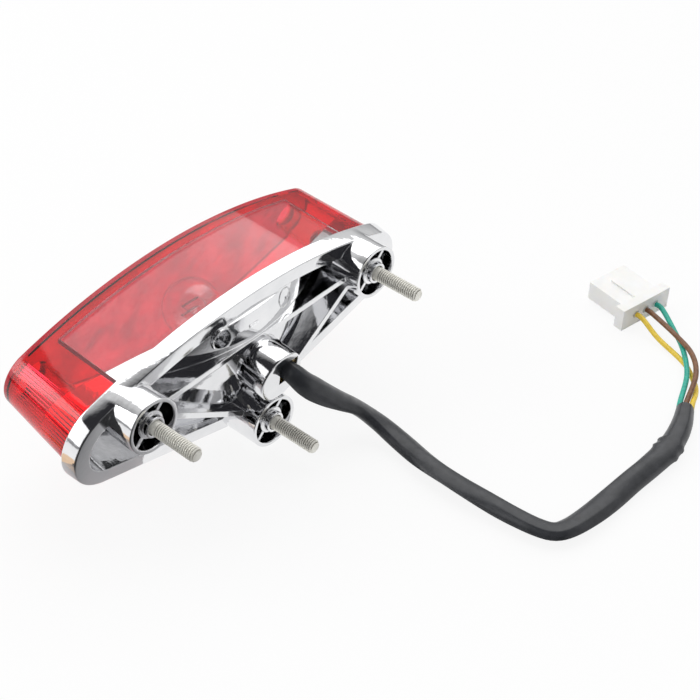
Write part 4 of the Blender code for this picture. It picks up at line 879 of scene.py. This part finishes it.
def smooth_route(points, spacing, steps=24):
    """Points every spacing along a smooth curve through a route's own points, and its length."""
    places = [Vector(point) for point in points]
    places = [2 * places[0] - places[1]] + places + [2 * places[-1] - places[-2]]
    fine = []
    for before, start, end, after in zip(places, places[1:], places[2:], places[3:]):
        for step in range(steps):
            t = step / steps
            bend = 2 * before - 5 * start + 4 * end - after
            twist = 3 * start - before - 3 * end + after
            fine.append(0.5 * (2 * start + (end - before) * t + bend * t**2 + twist * t**3))
    fine.append(places[-2])
    length = sum((two - one).length for one, two in zip(fine, fine[1:]))
    count = max(2, round(length / spacing))
    kept, gone, wanted = [fine[0]], 0.0, length / count
    for one, two in zip(fine, fine[1:]):
        run = (two - one).length
        while gone + run >= wanted - 1e-9 and len(kept) < count:
            kept.append(one.lerp(two, (wanted - gone) / run))
            wanted += length / count
        gone += run
    return kept + [fine[-1]], length


def wave(share, size, rate, start=0.0):
    """A sine along the sleeve, whose share runs from 0 at the slot to 1 at its end."""
    return size * math.sin(rate * share + start)


sleeve_z = BENCH_Z + SLEEVE_RADIUS
sleeve_exit = PITCH @ (CABLE_HOLE + Vector((0, SOCKET_BOSS_END + SLEEVE_TUCK, 0)))
sleeve_route = [
    sleeve_exit,
    PITCH @ (CABLE_HOLE + Vector((0, SOCKET_BOSS_END - 0.0036, 0))),
    (0.0056, -0.0122, -0.0164),
    (0.0108, -0.0150, -0.0222),
    (0.0185, -0.0175, -0.0300),
    (0.0262, -0.0208, -0.0376),
    (0.0306, -0.0280, -0.0440),
    (0.0312, -0.0395, sleeve_z),
    (0.0292, -0.0540, sleeve_z),
    (0.0282, -0.0700, sleeve_z),
    (0.0286, -0.0850, sleeve_z),
    (0.0294, -0.0980, sleeve_z),
    (0.0308, -0.1075, sleeve_z),
    (0.0334, -0.1134, sleeve_z),
    (0.0390, -0.1163, sleeve_z),
    (0.0490, -0.1182, sleeve_z),
    (0.0620, -0.1196, sleeve_z),
    (0.0740, -0.1206, sleeve_z),
    (0.0860, -0.1217, sleeve_z),
    (0.0980, -0.1218, sleeve_z),
    (0.1085, -0.1198, sleeve_z),
    (0.1170, -0.1170, sleeve_z),
    (0.1245, -0.1136, sleeve_z),
]
sleeve_line, sleeve_length = smooth_route(sleeve_route, SLEEVE_SPACING)
last = len(sleeve_line) - 1
rings = []
side = Vector((0.8, -0.5, 0.2))
for here, point in enumerate(sleeve_line):
    along = (sleeve_line[min(here + 1, last)] - sleeve_line[max(here - 1, 0)]).normalized()
    share = here / last
    flat_side = along.cross(Vector((0, 0, 1)))
    sense = 1 if flat_side.dot(side) > 0 else -1
    side = (side * SIDE_KEPT + flat_side.normalized() * SIDE_NEW * sense).normalized()
    side = (side - along * side.dot(along)).normalized()
    up = along.cross(side)
    roll = wave(share, 0.30, 9.0, 0.6) + wave(share, 0.10, 26.0)
    squeeze = FLATNESS + wave(share, 0.05, 15.0, 1.0)
    bulge = FULLNESS - wave(share, 0.05, 19.0)
    if share < SLOT_SHARE:
        squeeze += (SLOT_SHARE - share) * SLOT_SQUEEZE
        bulge -= (SLOT_SHARE - share) * SLOT_BULGE
    if share > END_SHARE:
        pinch = (share - END_SHARE) / (1 - END_SHARE)
        squeeze += END_SQUEEZE * pinch
        bulge += END_SWELL * math.sin(min(1.0, 3 * pinch) * math.pi) - END_TAPER * pinch
        bulge += sum(size * math.exp(-(((share - middle) / width) ** 2)) for middle, width, size in BULGES)
    ring = []
    for step in range(FOLD_STEPS * len(FOLDS)):
        corner, part = divmod(step, FOLD_STEPS)
        t = part / FOLD_STEPS
        ends = []
        for number in (corner, (corner + 1) % len(FOLDS)):
            swing = wave(share, FOLD_SWING, 9 + 4 * number, 2 * number)
            ends.append(Vector(FOLDS[number]) * (1 + swing))
        wide, tall = ends[0].lerp(ends[1], t) * (1 + FOLD_CROWN * math.sin(math.pi * t))
        wide, tall = SLEEVE_RADIUS * bulge * wide, SLEEVE_RADIUS * squeeze * tall
        turned_wide = wide * math.cos(roll) - tall * math.sin(roll)
        turned_tall = wide * math.sin(roll) + tall * math.cos(roll)
        place = point + side * turned_wide + up * turned_tall
        place.z = max(place.z, BENCH_Z + BENCH_TOUCH)
        ring.append(place)
    rings.append(ring)
sleeve = skinned("cable_sleeve_vinyl", rings)
vinyl, tree, shader = finish("black_vinyl", Roughness=0.45, Specular_IOR_Level=0.5)
coloured(tree, shader, grain(tree, 220, 4), (0.3, 0.022, 0.024, 0.028), (0.7, 0.040, 0.042, 0.048))
worn(tree, shader, grain(tree, 340, 5), 0.28, 0.42)
relief(tree, shader, (grain(tree, 220, 3), 0.0003, 0.16), (grain(tree, 2600, 3), 0.00003, 0.3))
dressed(sleeve, vinyl, "black_sleeve", "cable_sleeve", sharp=70)

# Wires: three stranded copper wires in coloured vinyl, from the sleeve's end to the connector.
# Inside the cable boss they run on as short leads to the contact plate and the socket.
CONNECTOR_WIDTH, CONNECTOR_LENGTH, CONNECTOR_HEIGHT = 0.0212, 0.0204, 0.0088
COLLAR_WIDTH, COLLAR_LENGTH, COLLAR_HEIGHT = 0.0286, 0.0044, 0.0108
CONNECTOR_FOOT, CONNECTOR_TURN = Vector((0.1695, -0.0524, BENCH_Z)), math.radians(-11)
TERMINAL_PITCH = 0.0060
WIRE_RADIUS, WIRE_GAP, WIRE_SPACING, WIRE_STRAIGHT = 0.00115, 0.0002, 0.0015, 0.004
LEAD_STRAIGHT, LEAD_END, LEAD_SPACING = 0.002, 0.0050, 0.0012
connector_place = Matrix.Translation(CONNECTOR_FOOT) @ Matrix.Rotation(CONNECTOR_TURN, 4, "Z")
collar_back = -CONNECTOR_LENGTH / 2 - COLLAR_LENGTH
connector_middle = COLLAR_HEIGHT / 2
wire_z = BENCH_Z + WIRE_RADIUS


def insulation(name, dark, light):
    """A vinyl wire coat between two shades."""
    look, tree, shader = finish(name, Roughness=0.38)
    coloured(tree, shader, grain(tree, 500, 3), (0.3, *dark), (0.7, *light))
    worn(tree, shader, grain(tree, 900, 3), 0.30, 0.46)
    relief(tree, shader, (grain(tree, 1200, 3), 0.00006, 0.35))
    return look


wire_looks = {
    "green": insulation("green_vinyl", (0.010, 0.36, 0.27), (0.025, 0.48, 0.36)),
    "brown": insulation("brown_vinyl", (0.14, 0.055, 0.02), (0.24, 0.105, 0.045)),
    "yellow": insulation("yellow_vinyl", (0.80, 0.55, 0.03), (0.90, 0.66, 0.07)),
}
coarse_line, _ = smooth_route(sleeve_route, 2 * SLEEVE_RADIUS)
run_on = (coarse_line[-1] - coarse_line[-2]).normalized()
across = Vector((-run_on.y, run_on.x, 0))
mouth = coarse_line[-1] + run_on * GAP
wire_routes = {
    "yellow": (
        -1,
        [
            (0.1406, -0.1092, wire_z + 0.0002),
            (0.1490, -0.1004, wire_z + 0.0002),
            (0.1528, -0.0934, wire_z + 0.0002),
            (0.1568, -0.0800, wire_z + 0.0012),
        ],
    ),
    "brown": (
        0,
        [
            (0.1436, -0.1066, wire_z + 0.0044),
            (0.1533, -0.0985, wire_z + 0.0052),
            (0.1603, -0.0860, wire_z + 0.0044),
        ],
    ),
    "green": (
        1,
        [
            (0.1432, -0.1028, wire_z + 0.0026),
            (0.1560, -0.0930, wire_z + 0.0024),
            (0.1656, -0.0818, wire_z + 0.0024),
        ],
    ),
}
wires = {}
for colour, (slot, middle) in wire_routes.items():
    begin = mouth + across * slot * (2 * WIRE_RADIUS + WIRE_GAP)
    entries = []
    for back in (WIRE_STRAIGHT, GAP):
        entry = Vector((slot * TERMINAL_PITCH, collar_back - back, connector_middle))
        entries.append(connector_place @ entry)
    line, length = smooth_route([begin, begin + run_on * WIRE_STRAIGHT, *middle, *entries], WIRE_SPACING)
    wires[colour] = (tube(f"wire_{colour}_insulation", line, WIRE_RADIUS, 5), begin, length)
    dressed(wires[colour][0], wire_looks[colour], f"{colour}_wire", f"wire_{colour}")

lead_start = CABLE_HOLE + Vector((0, SOCKET_BOSS_END + SLEEVE_TUCK + 3 * GAP, 0))
lead_end_y = LEAD_END - GAP
for name, colour, offset, end in (
    ("tail", "brown", (-0.0016, 0, -0.0009), (-0.0030, lead_end_y, BULB_Z + 0.0004)),
    ("brake", "yellow", (0.0009, 0, -0.0010), (0.0030, lead_end_y, BULB_Z - 0.0004)),
    ("ground", "green", (-0.0003, 0, 0.0016), (0.0002, lead_end_y, BULB_Z + 0.0032)),
):
    begin, end = lead_start + Vector(offset), Vector(end)
    straight = Vector((0, LEAD_STRAIGHT, 0))
    line, _ = smooth_route([begin, begin + straight, end - straight, end], LEAD_SPACING)
    lead = tube(f"lead_{name}_insulation", [PITCH @ point for point in line], WIRE_RADIUS, 4)
    dressed(lead, wire_looks[colour], f"{colour}_wire", f"lead_{name}")

# Connector: a three-way nylon housing, moulded in natural white, with a collar on the wire side.
# A latch runs along its top, and each wire ends in a brass tab terminal in its own cavity.
LATCH_HALF, LATCH_END, LATCH_RISE, OVERLAP = 0.0028, 0.0050, 0.0009, 0.0004
CAVITY_HALF_X, CAVITY_HALF_Z, CAVITY_DEPTH = 0.0023, 0.0026, 0.0170
FUNNEL_MOUTH, FUNNEL_THROAT, FUNNEL_DEPTH, BEYOND = 0.0021, 0.0014, 0.0016, 0.001
EDGE_ROUND, EDGE_ANGLE = 0.0006, math.radians(40)
nylon, tree, shader = finish("natural_nylon", Roughness=0.42, Subsurface_Weight=0.5)
shader.inputs["Subsurface Radius"].default_value = (0.0040, 0.0036, 0.0030)
coloured(tree, shader, grain(tree, 160, 4), (0.3, 0.92, 0.915, 0.885), (0.7, 0.955, 0.95, 0.93))
worn(tree, shader, grain(tree, 500, 4), 0.34, 0.52)
relief(tree, shader, (grain(tree, 1100, 3), 0.00005, 0.4))
body_top = connector_middle + CONNECTOR_HEIGHT / 2
body_low = connector_middle - CONNECTOR_HEIGHT / 2
half_width, half_length, half_collar = CONNECTOR_WIDTH / 2, CONNECTOR_LENGTH / 2, COLLAR_WIDTH / 2
body_corners = (-half_width, -half_length, body_low), (half_width, half_length, body_top)
connector = block("connector_moulding", *body_corners)
collar_high = (half_collar, -half_length + OVERLAP, COLLAR_HEIGHT)
shaped(connector, "UNION", block("collar", (-half_collar, collar_back, 0), collar_high))
latch_low = (-LATCH_HALF, -half_length, body_top - OVERLAP)
latch_high = (LATCH_HALF, LATCH_END, body_top + LATCH_RISE)
shaped(connector, "UNION", block("latch", latch_low, latch_high))
funnel = [(0, collar_back - BEYOND), (FUNNEL_MOUTH, collar_back - BEYOND)]
funnel += [(FUNNEL_THROAT, collar_back + FUNNEL_DEPTH), (0, collar_back + FUNNEL_DEPTH)]
for slot in (-1, 0, 1):
    x = slot * TERMINAL_PITCH
    cavity_low = (x - CAVITY_HALF_X, half_length - CAVITY_DEPTH, connector_middle - CAVITY_HALF_Z)
    cavity_high = (x + CAVITY_HALF_X, half_length + BEYOND, connector_middle + CAVITY_HALF_Z)
    shaped(connector, "DIFFERENCE", block("cavity", cavity_low, cavity_high))
    shaped(connector, "DIFFERENCE", turned("funnel", funnel, x, connector_middle, 24))
connector.data.transform(connector_place)
edges = connector.modifiers.new("moulded_edges", "BEVEL")
edges.width, edges.segments, edges.limit_method = EDGE_ROUND, 3, "ANGLE"
edges.angle_limit = EDGE_ANGLE
dressed(connector, nylon, "white_nylon", "connector")
terminals = [f"terminal_{colour}" for colour in wires]
refinished(brass, *terminals)
for colour, (wire, begin, length) in wires.items():
    ends = [nodes[f"terminal_{colour}"]] + ([connector] if colour == "brown" else [])
